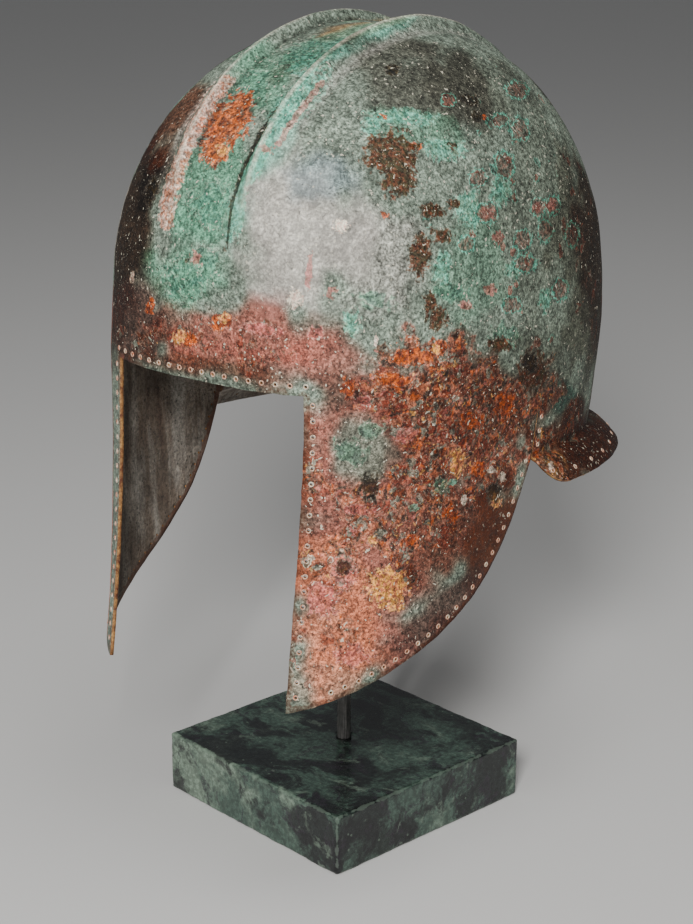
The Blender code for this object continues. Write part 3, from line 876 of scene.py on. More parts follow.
    def sheet(self) -> bmesh.types.BMesh:
        """The outer face of the whole helmet as one open sheet."""
        share = self.opening_share()
        rays = [self.ray_points(math.pi * ray / self.rays, share) for ray in range(self.rays + 1)]
        mesh = bmesh.new()
        pole = mesh.verts.new(rays[0][0])
        fan = [[pole] + [mesh.verts.new(point) for point in ray[1:]] for ray in rays]
        self.fill(mesh, fan)
        slit_rows = round(self.rows * (1 - self.slit_length / self.form.nape_drop))
        cheek_rows = [list(reversed(fan[0][:self.cheek_rings + 1]))]
        nape_rows = [fan[-1]]
        for row, cheek in enumerate(self.cheek_grid(rays[0]), start=1):
            nape = [self.nape_point(point, row / self.rows) for point in rays[-1]]
            opened = Vector((0, self.slit_width / 2 if row > slit_rows else 0, 0))
            nape[0] = cheek[-1] + opened
            cheek[-1] = cheek[-1] - opened
            cheek_rows.append([mesh.verts.new(point) for point in cheek])
            first = mesh.verts.new(nape[0]) if row > slit_rows else cheek_rows[-1][-1]
            nape_rows.append([first] + [mesh.verts.new(point) for point in nape[1:]])
        self.fill(mesh, cheek_rows)
        self.fill(mesh, nape_rows)
        root = nape_rows[-1]
        guard_rows = [root]
        for line in self.guard_grid([vertex.co.copy() for vertex in root]):
            guard_rows.append([root[0]] + [mesh.verts.new(point) for point in line[1:]])
        self.fill(mesh, guard_rows)
        bmesh.ops.recalc_face_normals(mesh, faces=mesh.faces)
        if max(mesh.faces, key=lambda face: face.calc_center_median().x).normal.x < 0:
            bmesh.ops.reverse_faces(mesh, faces=mesh.faces)
        return self.both_sides(mesh)

    @staticmethod
    def both_sides(mesh: bmesh.types.BMesh) -> bmesh.types.BMesh:
        """Adds the mirrored half and joins it along the middle plane."""
        copied = bmesh.ops.duplicate(mesh, geom=mesh.verts[:] + mesh.edges[:] + mesh.faces[:])["geom"]
        for item in copied:
            if isinstance(item, bmesh.types.BMVert):
                item.co.x = -item.co.x
        faces = [item for item in copied if isinstance(item, bmesh.types.BMFace)]
        bmesh.ops.reverse_faces(mesh, faces=faces)
        middle = [vertex for vertex in mesh.verts if abs(vertex.co.x) < MIDDLE_PLANE]
        bmesh.ops.remove_doubles(mesh, verts=middle, dist=MERGE)
        mesh.normal_update()
        return mesh

    def beat(self, mesh: bmesh.types.BMesh) -> None:
        """Makes the sheet and its edges slightly uneven."""
        moves = []
        for vertex in mesh.verts:
            move = Vector()
            for scale, height in self.waves:
                move += vertex.normal * (noise.noise(vertex.co * scale) * height)
            if vertex.is_boundary:
                ragged = noise.noise_vector(vertex.co * self.ragged_scale) * self.ragged_reach
                move += ragged - vertex.normal * ragged.dot(vertex.normal)
            moves.append(move)
        for vertex, move in zip(mesh.verts, moves):
            vertex.co += move
        mesh.normal_update()

    def build(self, punches: "EdgePunches", finishes: list[bpy.types.Material]) -> bpy.types.Object:
        """Makes the wall with its holes and charts its stains.

        Args:
            punches: the holes along the edges.
            finishes: outer, inner and edge materials, in that order.

        Returns:
            The wall's object.
        """
        mesh = self.sheet()
        self.beat(mesh)
        punches.seat(mesh, self)
        shell = from_bmesh(mesh, "sheet", finishes)
        thickness = shell.modifiers.new("wall", 'SOLIDIFY')
        thickness.thickness = self.wall
        thickness.offset = -1.0
        thickness.use_even_offset = True
        thickness.material_offset = 1
        thickness.material_offset_rim = 2
        wall = cut_with(shell, punches.cutters(finishes[-1]), "helmet_wall")
        StainChart(self.camera, self.form).write(wall.data)
        return wall


@dataclass
class StainChart:
    """Puts the charted stains, painted shade and painted highlights on the wall as attributes."""

    camera: PictureCamera
    form: BowlForm
    facing_least: float = 0.10
    turnover_y: float = 0.090
    shift_pixels: float = 9.0
    shift_scale: float = 40.0
    coarse_scale: float = 55.0
    fine_scale: float = 130.0
    fine_share: float = 0.5
    edge_swing: float = 0.55
    edge_lift: float = 0.15
    edge_soft: float = 0.50
    line_gain: float = 1.6
    rim_steps: int = 120
    brow_steps: int = 40
    brow_forward: float = 0.004
    rim_reach: float = 0.007
    # Lines along the ribs: wear and painted highlight on the crest, dirt and painted shade in the inner
    # crease, painted highlight in the outer crease.
    rib_lines: dict[str, tuple[float, float]] = field(default_factory=lambda: {
        "rib_crest": (0.02, 0.20), "rib_inner_crease": (-0.85, 0.42), "rib_outer_crease": (1.05, 0.45)})

    def places(self, points: np.ndarray, normals: np.ndarray) -> np.ndarray:
        """Where each point reads the chart: as seen, mirrored, or turned over for the back.

        Args:
            points: places in metres.
            normals: outward normals.

        Returns:
            Chart pixels across and down.
        """
        seen = self.camera.facing(points, normals) > self.facing_least
        mirrored = self.camera.facing(points * FLIP, normals * FLIP) > self.facing_least
        back = points.copy()
        back[:, 1] = 2 * self.turnover_y - points[:, 1]
        back[:, 0] = [self.form.side_x(float(y), float(z)) for y, z in back[:, 1:]]
        swings = [noise.noise_vector(Vector(point) * self.shift_scale)[:2] for point in points]
        shift = np.array(swings) * self.shift_pixels
        chart = self.camera.pixels(back) + shift
        chart[mirrored] = self.camera.pixels(points * FLIP)[mirrored] + shift[mirrored]
        chart[seen] = self.camera.pixels(points)[seen]
        return chart

    @staticmethod
    def oval(chart: np.ndarray, spot: Wash | Mark) -> np.ndarray:
        """How far inside an oval spot each point lies.

        Args:
            chart: chart pixels, one pair per row.
            spot: the spot.

        Returns:
            1 at the spot's middle, 0 at its edge, and less outside.
        """
        turn = math.radians(spot.turn)
        across, down = chart[:, 0] - spot.across, chart[:, 1] - spot.down
        along = across * math.cos(turn) + down * math.sin(turn)
        beside = down * math.cos(turn) - across * math.sin(turn)
        return 1 - np.hypot(along / spot.wide, beside / spot.tall)

    @staticmethod
    def line(chart: np.ndarray, streak: Streak) -> np.ndarray:
        """How near the line of a streak each point lies.

        Args:
            chart: chart pixels, one pair per row.
            streak: the streak.

        Returns:
            1 on the streak's line, 0 at its edge, and less outside.
        """
        nearest = np.full(len(chart), np.inf)
        for start, end in zip(streak.points, streak.points[1:]):
            start, step = np.array(start), np.array(end) - np.array(start)
            share = np.clip(((chart - start) @ step) / (step @ step), 0, 1)
            nearest = np.minimum(nearest, np.linalg.norm(chart - start - share[:, None] * step, axis=1))
        return 1 - nearest / streak.half_width

    def amount(self, chart: np.ndarray, washes: tuple[Wash, ...], rough: np.ndarray) -> np.ndarray:
        """The most that any of some washes gives at each point.

        Args:
            chart: chart pixels, one pair per row.
            washes: the washes.
            rough: noise that makes their edges ragged, one value per row.

        Returns:
            A share for each point.
        """
        most = np.zeros(len(chart))
        for wash in washes:
            inside = self.oval(chart, wash) + self.edge_swing * rough + self.edge_lift
            cover = np.clip(inside / self.edge_soft, 0, 1)
            most = np.maximum(most, cover * cover * (3 - 2 * cover) * wash.strength)
        return most

    def write(self, mesh: bpy.types.Mesh) -> None:
        """Writes the ground colour, the stains, the painted shade and highlights and the edge distance as
        attributes.
        """
        count = len(mesh.vertices)
        points = np.empty(count * 3)
        normals = np.empty(count * 3)
        mesh.vertices.foreach_get("co", points)
        mesh.vertices.foreach_get("normal", normals)
        points, normals = points.reshape(-1, 3), normals.reshape(-1, 3)
        chart = self.places(points, normals)
        rough = np.array([noise.noise(Vector(point) * self.coarse_scale)
                          + self.fine_share * noise.noise(Vector(point) * self.fine_scale)
                          for point in points])
        ground = np.tile(np.array(Tone.GREY_GREEN.linear), (count, 1))
        for wash in WASHES:
            cover = self.amount(chart, (wash,), rough)[:, None]
            ground = ground * (1 - cover) + np.array(wash.tone.linear) * cover
        self.store(mesh, "ground", np.hstack([ground, np.ones((count, 1))]), 'FLOAT_COLOR')
        # The shade attribute holds the painted shade.
        for name, washes in (("burnish", BURNISH), ("rings", RINGS), ("shade", PAINTED_SHADE)):
            self.store(mesh, name, self.amount(chart, washes, rough), 'FLOAT')
        crusted = self.amount(chart, CRUST, rough) * (1 - self.amount(chart, CLEAR, rough))
        self.store(mesh, "crust", crusted, 'FLOAT')
        for layer in Layer:
            spots = [self.oval(chart, mark) for mark in MARKS.get(layer, ())]
            spots += [self.line(chart, streak) for streak in STREAKS if streak.layer is layer]
            self.store(mesh, layer.attribute, np.clip(np.maximum.reduce(spots), -1, 1), 'FLOAT')
        self.store(mesh, "edge", self.edge_share(points), 'FLOAT')
        for name, (middle, reach) in self.rib_lines.items():
            self.store(mesh, name, self.rib_share(points, middle, reach), 'FLOAT')

    def rib_share(self, points: np.ndarray, middle: float, reach: float) -> np.ndarray:
        """1 on a line along the ribs, falling to 0 beside it.

        Args:
            points: places in metres.
            middle: the line's place across the rib, -1 at its inner foot, 0 at its crest, 1 at
                its outer foot.
            reach: how far it fades out, in the same shares.

        Returns:
            One share for each point.
        """
        form = self.form
        shares = np.zeros(len(points))
        for index, (x, y, z) in enumerate(points):
            turn = math.atan2(z - form.brow_z, form.centre_y - y)
            if not form.rib_start < turn < form.rib_end:
                continue
            off = abs(x) - form.rib_crest(turn)
            across = off / (form.rib_outer if off > 0 else form.rib_inner)
            near = max(1 - abs(across - middle) / reach, 0.0)
            shares[index] = near * min(form.rib_rise(turn) / form.rib_height * self.line_gain, 1.0)
        return shares

    def edge_share(self, points: np.ndarray) -> np.ndarray:
        """How near the helmet's edges each point lies.

        Args:
            points: places in metres.

        Returns:
            1 at an edge, falling to 0 a few millimetres in.
        """
        form = self.form
        curves = [form.cheek_front, form.cheek_lower]
        shares = [step / self.rim_steps for step in range(self.rim_steps + 1)]
        rim = [form.on_surface(curve(share)) for curve in curves for share in shares]
        y = form.opening_corner.x - self.brow_forward
        rim += [Vector((form.opening_width / 2 * step / self.brow_steps, y, form.brow_z))
                for step in range(self.brow_steps + 1)]
        rim = np.array([tuple(point) for point in rim])
        folded = points.copy()
        folded[:, 0] = np.abs(folded[:, 0])
        nearest = np.full(len(points), 1.0)
        for place in rim:
            nearest = np.minimum(nearest, np.linalg.norm(folded - place, axis=1))
        return np.clip(1 - nearest / self.rim_reach, 0, 1)

    @staticmethod
    def store(mesh: bpy.types.Mesh, name: str, values: np.ndarray, kind: str) -> None:
        """Puts one value or colour for each vertex on the mesh.

        Args:
            mesh: the mesh.
            name: name of the attribute.
            values: one row per vertex.
            kind: FLOAT or FLOAT_COLOR.
        """
        attribute = mesh.attributes.new(name, kind, 'POINT')
        holds = "color" if kind == 'FLOAT_COLOR' else "value"
        attribute.data.foreach_set(holds, values.astype(np.float32).ravel())


@dataclass
class EdgePunches:
    """The punched holes along the helmet's edges, with their raised rims."""

    form: BowlForm
    hole_radius: float = 0.00056
    rim_radius: float = 0.00088
    rim_wire: float = 0.00030
    inset: float = 0.0038
    depth: float = 0.0060
    brow: int = 9
    front: int = 20
    lower: int = 24
    above_notch: int = 3
    guard: int = 11
    guard_row: float = 0.72
    guard_start: float = 0.9
    front_span: tuple[float, float] = (0.035, 0.955)
    lower_span: tuple[float, float] = (0.065, 0.985)
    slit_first: float = 0.62
    slit_pitch: float = 0.14
    curve_probe: float = 0.01
    edge_probe: float = 0.001
    places: list[tuple[Vector, Vector]] = field(default_factory=list)

    def inset_place(self, curve: Curve, share: float) -> Vector:
        """A place on the bowl a little inside an edge.

        Args:
            curve: the edge's outline curve.
            share: how far along it.

        Returns:
            The place.
        """
        form = self.form
        ahead, behind = min(share + self.curve_probe, 1.0), max(share - self.curve_probe, 0.0)
        along = (curve(ahead) - curve(behind)).normalized()
        inward = Vector((-along.y, along.x))
        here = curve(share)
        probe = form.on_surface(here + inward * self.edge_probe) - form.on_surface(here)
        slope = probe.length / self.edge_probe
        return form.on_surface(here + inward * (self.inset / max(slope, 1.0)))

    def guard_places(self, sheet: HelmetWall) -> list[Vector]:
        """Places along the neck guard's edge.

        Args:
            sheet: the wall that is punched.

        Returns:
            The places of the left half.
        """
        rays = sheet.ray_points(math.pi, sheet.opening_share())
        grid = sheet.guard_grid([sheet.nape_point(point, 1.0) for point in rays])
        line = grid[round(len(grid) * self.guard_row)]
        runs = lengths(line)
        start = self.form.guard_corner * self.guard_start
        pitch = (runs[-1] - start) / (self.guard - 0.5)
        coordinates = [[point[axis] for point in line] for axis in range(3)]
        return [Vector([float(np.interp(start + pitch * index, runs, values)) for values in coordinates])
                for index in range(self.guard)]

    def plan(self, sheet: HelmetWall) -> list[Vector]:
        """Where the holes are.

        Args:
            sheet: the wall that is punched.

        Returns:
            All places on the left half.
        """
        form = self.form
        half, front, _, power = form.section(form.brow_z + self.inset)
        pitch = (form.opening_width / 2 + self.inset) / self.brow
        spots = []
        for index in range(self.brow):
            x = pitch * (index + 0.5)
            y = form.centre_y - front * (1 - (x / half) ** power) ** (1 / power)
            spots.append(Vector((x, y, form.brow_z + self.inset)))
        for curve, count, span in ((form.cheek_front, self.front, self.front_span),
                                   (form.cheek_lower, self.lower, self.lower_span)):
            spots += [self.inset_place(curve, share) for share in form.even_shares(curve, count, *span)]
        for index in range(self.above_notch):
            beside = form.slit_line(self.slit_first + self.slit_pitch * index)
            spots.append(form.on_surface(beside + Vector((self.inset, 0))))
        return spots + self.guard_places(sheet)

    def seat(self, mesh: bmesh.types.BMesh, sheet: HelmetWall) -> None:
        """Puts each place on the uneven sheet and takes its axis there.

        Args:
            mesh: the uneven sheet.
            sheet: the wall that it belongs to.
        """
        tree = BVHTree.FromBMesh(mesh)
        for spot in self.plan(sheet):
            for side in (1, -1):
                place, axis, _, _ = tree.find_nearest(Vector((spot.x * side, spot.y, spot.z)))
                self.places.append((place, axis))

    def points(self, name: str) -> bpy.types.Object:
        """The places as an object of loose points with an axis each."""
        data = bpy.data.meshes.new(name)
        data.from_pydata([place for place, _ in self.places], [], [])
        axes = data.attributes.new("punch_axis", 'FLOAT_VECTOR', 'POINT')
        axes.data.foreach_set("vector", [part for _, axis in self.places for part in axis])
        return shown(name, data)

    def cutters(self, material: bpy.types.Material) -> bpy.types.Object:
        """The punches that cut the holes, made by a node tree."""
        tree = PunchTree("punch_cutters", is_rim=False).tree
        return self.run(tree, {"Radius": self.hole_radius, "Depth": self.depth, "Material": material})

    def rims(self, material: bpy.types.Material) -> bpy.types.Object:
        """The raised rims round the holes, made by a node tree."""
        tree = PunchTree("punch_rims", is_rim=True).tree
        return self.run(tree, {"Radius": self.rim_radius, "Depth": self.rim_wire, "Material": material})

    def run(self, tree: bpy.types.NodeTree,
            values: dict[str, float | bpy.types.Material]) -> bpy.types.Object:
        """Runs a punch tree over the places.

        Args:
            tree: the tree, whose name the object takes.
            values: what its inputs are set to.

        Returns:
            A plain mesh object.
        """
        source = self.points(tree.name)
        modifier = source.modifiers.new("punches", 'NODES')
        modifier.node_group = tree
        for item in tree.interface.items_tree:
            if item.item_type == 'SOCKET' and item.in_out == 'INPUT' and item.name in values:
                modifier[item.identifier] = values[item.name]
        return baked(source, tree.name)


class PunchTree:
    """Geometry node tree that sets a punch or a rim on each point, along its axis."""

    punch_sides: int = 10
    ring_sides: int = 14
    wire_sides: int = 6

    def __init__(self, name: str, is_rim: bool) -> None:
        """Builds the tree.

        Args:
            name: name of the tree.
            is_rim: True for raised rims, False for cutters.
        """
        self.tree = bpy.data.node_groups.new(name, 'GeometryNodeTree')
        for label, way, kind in (("Geometry", 'INPUT', "Geometry"), ("Radius", 'INPUT', "Float"),
                                 ("Depth", 'INPUT', "Float"), ("Material", 'INPUT', "Material"),
                                 ("Geometry", 'OUTPUT', "Geometry")):
            self.tree.interface.new_socket(label, in_out=way, socket_type="NodeSocket" + kind)
        entry = self.tree.nodes.new('NodeGroupInput')
        shape = self.rim(entry) if is_rim else self.punch(entry)
        axis = self.tree.nodes.new('GeometryNodeInputNamedAttribute')
        axis.data_type = 'FLOAT_VECTOR'
        axis.inputs["Name"].default_value = "punch_axis"
        align = self.tree.nodes.new('FunctionNodeAlignRotationToVector')
        align.axis = 'Z'
        self.join(axis.outputs["Attribute"], align.inputs["Vector"])
        place = self.tree.nodes.new('GeometryNodeInstanceOnPoints')
        self.join(entry.outputs["Geometry"], place.inputs["Points"])
        self.join(shape, place.inputs["Instance"])
        self.join(align.outputs["Rotation"], place.inputs["Rotation"])
        real = self.tree.nodes.new('GeometryNodeRealizeInstances')
        self.join(place.outputs["Instances"], real.inputs["Geometry"])
        dress = self.tree.nodes.new('GeometryNodeSetMaterial')
        self.join(real.outputs["Geometry"], dress.inputs["Geometry"])
        self.join(entry.outputs["Material"], dress.inputs["Material"])
        leave = self.tree.nodes.new('NodeGroupOutput')
        self.join(dress.outputs["Geometry"], leave.inputs["Geometry"])

    def join(self, start: bpy.types.NodeSocket, end: bpy.types.NodeSocket) -> None:
        """Links two sockets."""
        self.tree.links.new(start, end)

    def punch(self, entry: bpy.types.Node) -> bpy.types.NodeSocket:
        """A round cutter."""
        node = self.tree.nodes.new('GeometryNodeMeshCylinder')
        node.inputs["Vertices"].default_value = self.punch_sides
        self.join(entry.outputs["Radius"], node.inputs["Radius"])
        self.join(entry.outputs["Depth"], node.inputs["Depth"])
        return node.outputs["Mesh"]

    def rim(self, entry: bpy.types.Node) -> bpy.types.NodeSocket:
        """A ring of round wire."""
        ring = self.tree.nodes.new('GeometryNodeCurvePrimitiveCircle')
        ring.inputs["Resolution"].default_value = self.ring_sides
        self.join(entry.outputs["Radius"], ring.inputs["Radius"])
        wire = self.tree.nodes.new('GeometryNodeCurvePrimitiveCircle')
        wire.inputs["Resolution"].default_value = self.wire_sides
        self.join(entry.outputs["Depth"], wire.inputs["Radius"])
        sweep = self.tree.nodes.new('GeometryNodeCurveToMesh')
        self.join(ring.outputs["Curve"], sweep.inputs["Curve"])
        self.join(wire.outputs["Curve"], sweep.inputs["Profile Curve"])
        return sweep.outputs["Mesh"]


@dataclass(frozen=True)
class Warp:
    """How coordinates are bent: noise per metre, its detail, its reach in metres, its middle value."""

    scale: float
    detail: float
    reach: float
    middle: float = 0.5


@dataclass(frozen=True)
class Cloud:
    """A noise texture: cells per metre, detail, roughness, and the values between which it steps."""

    scale: float
    detail: float
    rough: float
    low: float
    high: float


@dataclass(frozen=True)
class Mottle:
    """Clouds that change a colour: cells per metre, lowest and highest factor."""

    scale: float
    low: float
    high: float


@dataclass(frozen=True)
class Specks:
    """Scattered specks: cells per metre, share of the cells that hold one, size in cells."""

    scale: float
    share: float
    size: float


class Wiring:
    """Short ways to add and link the nodes of a shader tree."""

    def __init__(self, tree: bpy.types.NodeTree) -> None:
        """Takes the tree that the nodes go to."""
        self.tree = tree

    def add(self, kind: str, values: dict | None = None, **settings: object) -> bpy.types.Node:
        """Adds a node.

        Args:
            kind: node type without its ShaderNode prefix.
            values: socket name or number to a value, or to a socket that is linked.
            settings: the node's own settings.

        Returns:
            The node.
        """
        node = self.tree.nodes.new("ShaderNode" + kind)
        for name, value in settings.items():
            setattr(node, name, value)
        for name, value in (values or {}).items():
            if isinstance(value, bpy.types.NodeSocket):
                self.tree.links.new(value, node.inputs[name])
            else:
                node.inputs[name].default_value = value
        return node

    def reckon(self, operation: str, first: Value, second: Value = 0.0, third: Value = 0.0,
               clamp: bool = False) -> bpy.types.NodeSocket:
        """A Math node's result."""
        node = self.add("Math", {0: first, 1: second, 2: third}, operation=operation, use_clamp=clamp)
        return node.outputs[0]

    def times(self, first: Value, second: Value) -> bpy.types.NodeSocket:
        """The product of two values."""
        return self.reckon('MULTIPLY', first, second)

    def raised(self, value: Value, factor: Value, base: Value) -> bpy.types.NodeSocket:
        """A value times a factor, added to a base."""
        return self.reckon('MULTIPLY_ADD', value, factor, base)

    def vector(self, operation: str, values: dict) -> bpy.types.NodeSocket:
        """A Vector Math node's result."""
        return self.add("VectorMath", values, operation=operation).outputs["Vector"]

    def mix(self, share: Value, under: Value, over: Value, how: str = 'MIX') -> bpy.types.NodeSocket:
        """One colour mixed over another."""
        node = self.add("Mix", {0: share, 6: under, 7: over}, data_type='RGBA', blend_type=how)
        return node.outputs[2]

    def coat(self, colour: Value, mask: Value, cover: float, over: Value) -> bpy.types.NodeSocket:
        """One colour laid over another where a mask shows.

        Args:
            colour: the colour below.
            mask: where the coat lies, from 0 to 1.
            cover: how much it hides there.
            over: the coat's colour.

        Returns:
            The colour.
        """
        return self.mix(self.times(mask, cover), colour, over)

    def warp(self, place: Value, bend: Warp) -> bpy.types.NodeSocket:
        """Object coordinates bent by noise."""
        push = self.add("TexNoise", {"Vector": place, "Scale": bend.scale, "Detail": bend.detail})
        push = self.vector('SUBTRACT', {0: push.outputs["Color"], 1: (bend.middle,) * 3})
        push = self.vector('SCALE', {0: push, "Scale": bend.reach})
        return self.vector('ADD', {0: place, 1: push})

    def reading(self, name: str, colour: bool = False) -> bpy.types.NodeSocket:
        """An attribute's value or colour."""
        return self.add("Attribute", attribute_name=name).outputs["Color" if colour else "Fac"]

    def cloud(self, place: Value, scale: Value, detail: float = 4.0,
              rough: float = 0.6) -> bpy.types.NodeSocket:
        """A noise texture's value."""
        values = {"Vector": place, "Scale": scale, "Detail": detail, "Roughness": rough}
        return self.add("TexNoise", values).outputs["Fac"]

    def stepped(self, place: Value, cloud: Cloud) -> bpy.types.NodeSocket:
        """A noise texture sharpened by a smooth step."""
        return self.steps(self.cloud(place, cloud.scale, cloud.detail, cloud.rough), cloud.low, cloud.high)

    def steps(self, share: Value, low: float, high: float, start: float = 0.0,
              end: float = 1.0) -> bpy.types.NodeSocket:
        """A smooth step between two values."""
        node = self.add("MapRange", {"Value": share, "From Min": low, "From Max": high, "To Min": start,
                                     "To Max": end}, interpolation_type='SMOOTHSTEP')
        return node.outputs["Result"]

    def ramp(self, share: Value, stops: tuple[tuple[float, Tone], ...],
             hard: bool = False) -> bpy.types.NodeSocket:
        """Tones along a ramp.

        Args:
            share: where on the ramp.
            stops: place and tone of each stop.
            hard: True for steps, False for a blend.

        Returns:
            The colour.
        """
        node = self.add("ValToRGB", {"Fac": share})
        node.color_ramp.interpolation = 'CONSTANT' if hard else 'LINEAR'
        while len(node.color_ramp.elements) < len(stops):
            node.color_ramp.elements.new(0.5)
        for element, (place, tone) in zip(node.color_ramp.elements, stops):
            element.position = place
            element.color = tone.socket
        return node.outputs["Color"]


class Effects:
    """Node groups that several finishes share."""

    def __init__(self) -> None:
        """Builds the groups once."""
        self.patch = self.ragged_patch()
        self.speck = self.speckle()
        self.mottle = self.mottled()

    def ragged(self, wires: Wiring, place: Value, inside: Value, scale: float, ragged: float) -> Sockets:
        """Uses the ragged patch.

        Args:
            wires: the material's wiring.
            place: object coordinates.
            inside: a field that is 0 at the patch's edge.
            scale: cells per metre of its edge.
            ragged: how far the edge swings.

        Returns:
            The patch's mask and its rim.
        """
        node = wires.add("Group", {"Vector": place, "Field": inside, "Scale": scale, "Ragged": ragged},
                         node_tree=self.patch)
        return node.outputs["Mask"], node.outputs["Rim"]

    def specks(self, wires: Wiring, place: Value, kind: Specks) -> bpy.types.NodeSocket:
        """Uses the scattered specks and gives their mask."""
        node = wires.add("Group", {"Vector": place, "Scale": kind.scale, "Share": kind.share,
                                   "Size": kind.size}, node_tree=self.speck)
        return node.outputs["Mask"]

    def clouds(self, wires: Wiring, place: Value, colour: Value, kind: Mottle) -> Sockets:
        """Uses the clouds and gives the changed colour and the clouds themselves."""
        node = wires.add("Group", {"Vector": place, "Color": colour, "Scale": kind.scale, "Low": kind.low,
                                   "High": kind.high}, node_tree=self.mottle)
        return node.outputs["Color"], node.outputs["Cloud"]

    @staticmethod
    def start(name: str, takes: dict[str, str],
              gives: dict[str, str]) -> tuple[Wiring, dict[str, bpy.types.NodeSocket], bpy.types.Node]:
        """Opens a group.

        Args:
            name: its name.
            takes: names and kinds of its inputs.
            gives: names and kinds of its outputs.

        Returns:
            Its wiring, its inputs by name and its output node.
        """
        tree = bpy.data.node_groups.new(name, 'ShaderNodeTree')
        for label, kind in takes.items():
            tree.interface.new_socket(label, in_out='INPUT', socket_type="NodeSocket" + kind)
        for label, kind in gives.items():
            tree.interface.new_socket(label, in_out='OUTPUT', socket_type="NodeSocket" + kind)
        entry = tree.nodes.new('NodeGroupInput')
        leave = tree.nodes.new('NodeGroupOutput')
        return Wiring(tree), dict(entry.outputs.items()), leave

    def ragged_patch(self) -> bpy.types.NodeTree:
        """A patch with a ragged edge and a thin rim, from a field that is 0 at its edge."""
        wires, takes, leave = self.start(
            "ragged_patch", {"Vector": "Vector", "Field": "Float", "Scale": "Float", "Ragged": "Float"},
            {"Mask": "Float", "Rim": "Float"})
        coarse = wires.cloud(takes["Vector"], takes["Scale"], 4.0, 0.54)
        swing = wires.times(wires.reckon('SUBTRACT', coarse, 0.5), takes["Ragged"])
        field_value = wires.reckon('ADD', takes["Field"], swing)
        mask = wires.steps(field_value, 0.0, 0.10)
        inner = wires.steps(field_value, 0.12, 0.24)
        wires.tree.links.new(mask, leave.inputs["Mask"])
        wires.tree.links.new(wires.reckon('SUBTRACT', mask, inner, clamp=True), leave.inputs["Rim"])
        return wires.tree

    def speckle(self) -> bpy.types.NodeTree:
        """Small scattered specks."""
        wires, takes, leave = self.start(
            "speckle", {"Vector": "Vector", "Scale": "Float", "Share": "Float", "Size": "Float"},
            {"Mask": "Float"})
        cells = wires.add("TexVoronoi", {"Vector": takes["Vector"], "Scale": takes["Scale"]})
        near = wires.reckon('LESS_THAN', cells.outputs["Distance"], takes["Size"])
        parts = wires.add("SeparateColor", {"Color": cells.outputs["Color"]})
        few = wires.reckon('LESS_THAN', parts.outputs["Red"], takes["Share"])
        wires.tree.links.new(wires.times(near, few), leave.inputs["Mask"])
        return wires.tree

    def mottled(self) -> bpy.types.NodeTree:
        """Lightens and darkens a colour in clouds."""
        wires, takes, leave = self.start(
            "mottled", {"Vector": "Vector", "Color": "Color", "Scale": "Float", "Low": "Float",
                        "High": "Float"}, {"Color": "Color", "Cloud": "Float"})
        spread = wires.steps(wires.cloud(takes["Vector"], takes["Scale"], 6.0, 0.68), 0.36, 0.64)
        span = wires.reckon('SUBTRACT', takes["High"], takes["Low"])
        level = wires.reckon('ADD', wires.times(spread, span), takes["Low"])
        scaled = wires.vector('SCALE', {0: takes["Color"], "Scale": level})
        wires.tree.links.new(scaled, leave.inputs["Color"])
        wires.tree.links.new(spread, leave.inputs["Cloud"])
        return wires.tree


@dataclass(frozen=True)
class Finish:
    """Base of the finishes: a name and plain numbers of the shader."""

    name: str
    metallic: float = 0.0
    bump: float = 0.0005
    specular: float = 0.5

    def open(self) -> tuple[bpy.types.Material, Wiring, bpy.types.Node, bpy.types.NodeSocket]:
        """A new material, its wiring, its shader and its object coordinates."""
        material = bpy.data.materials.new(self.name)
        material.use_nodes = True
        wires = Wiring(material.node_tree)
        shader = material.node_tree.nodes["Principled BSDF"]
        shader.inputs["Metallic"].default_value = self.metallic
        shader.inputs["Specular IOR Level"].default_value = self.specular
        place = wires.add("TexCoord").outputs["Object"]
        return material, wires, shader, place

    def close(self, wires: Wiring, shader: bpy.types.Node, colour: bpy.types.NodeSocket,
              rough: bpy.types.NodeSocket, height: bpy.types.NodeSocket) -> None:
        """Links colour, roughness and bump height to the shader."""
        wires.tree.links.new(colour, shader.inputs["Base Color"])
        wires.tree.links.new(rough, shader.inputs["Roughness"])
        bump = wires.add("Bump", {"Height": height, "Distance": self.bump, "Strength": 1.0})
        wires.tree.links.new(bump.outputs["Normal"], shader.inputs["Normal"])


@dataclass(frozen=True)
class Crust:
    """A coat of crust in ragged patches."""

    tone: Tone
    scale: float
    level: float
    cover: float
    rise: float


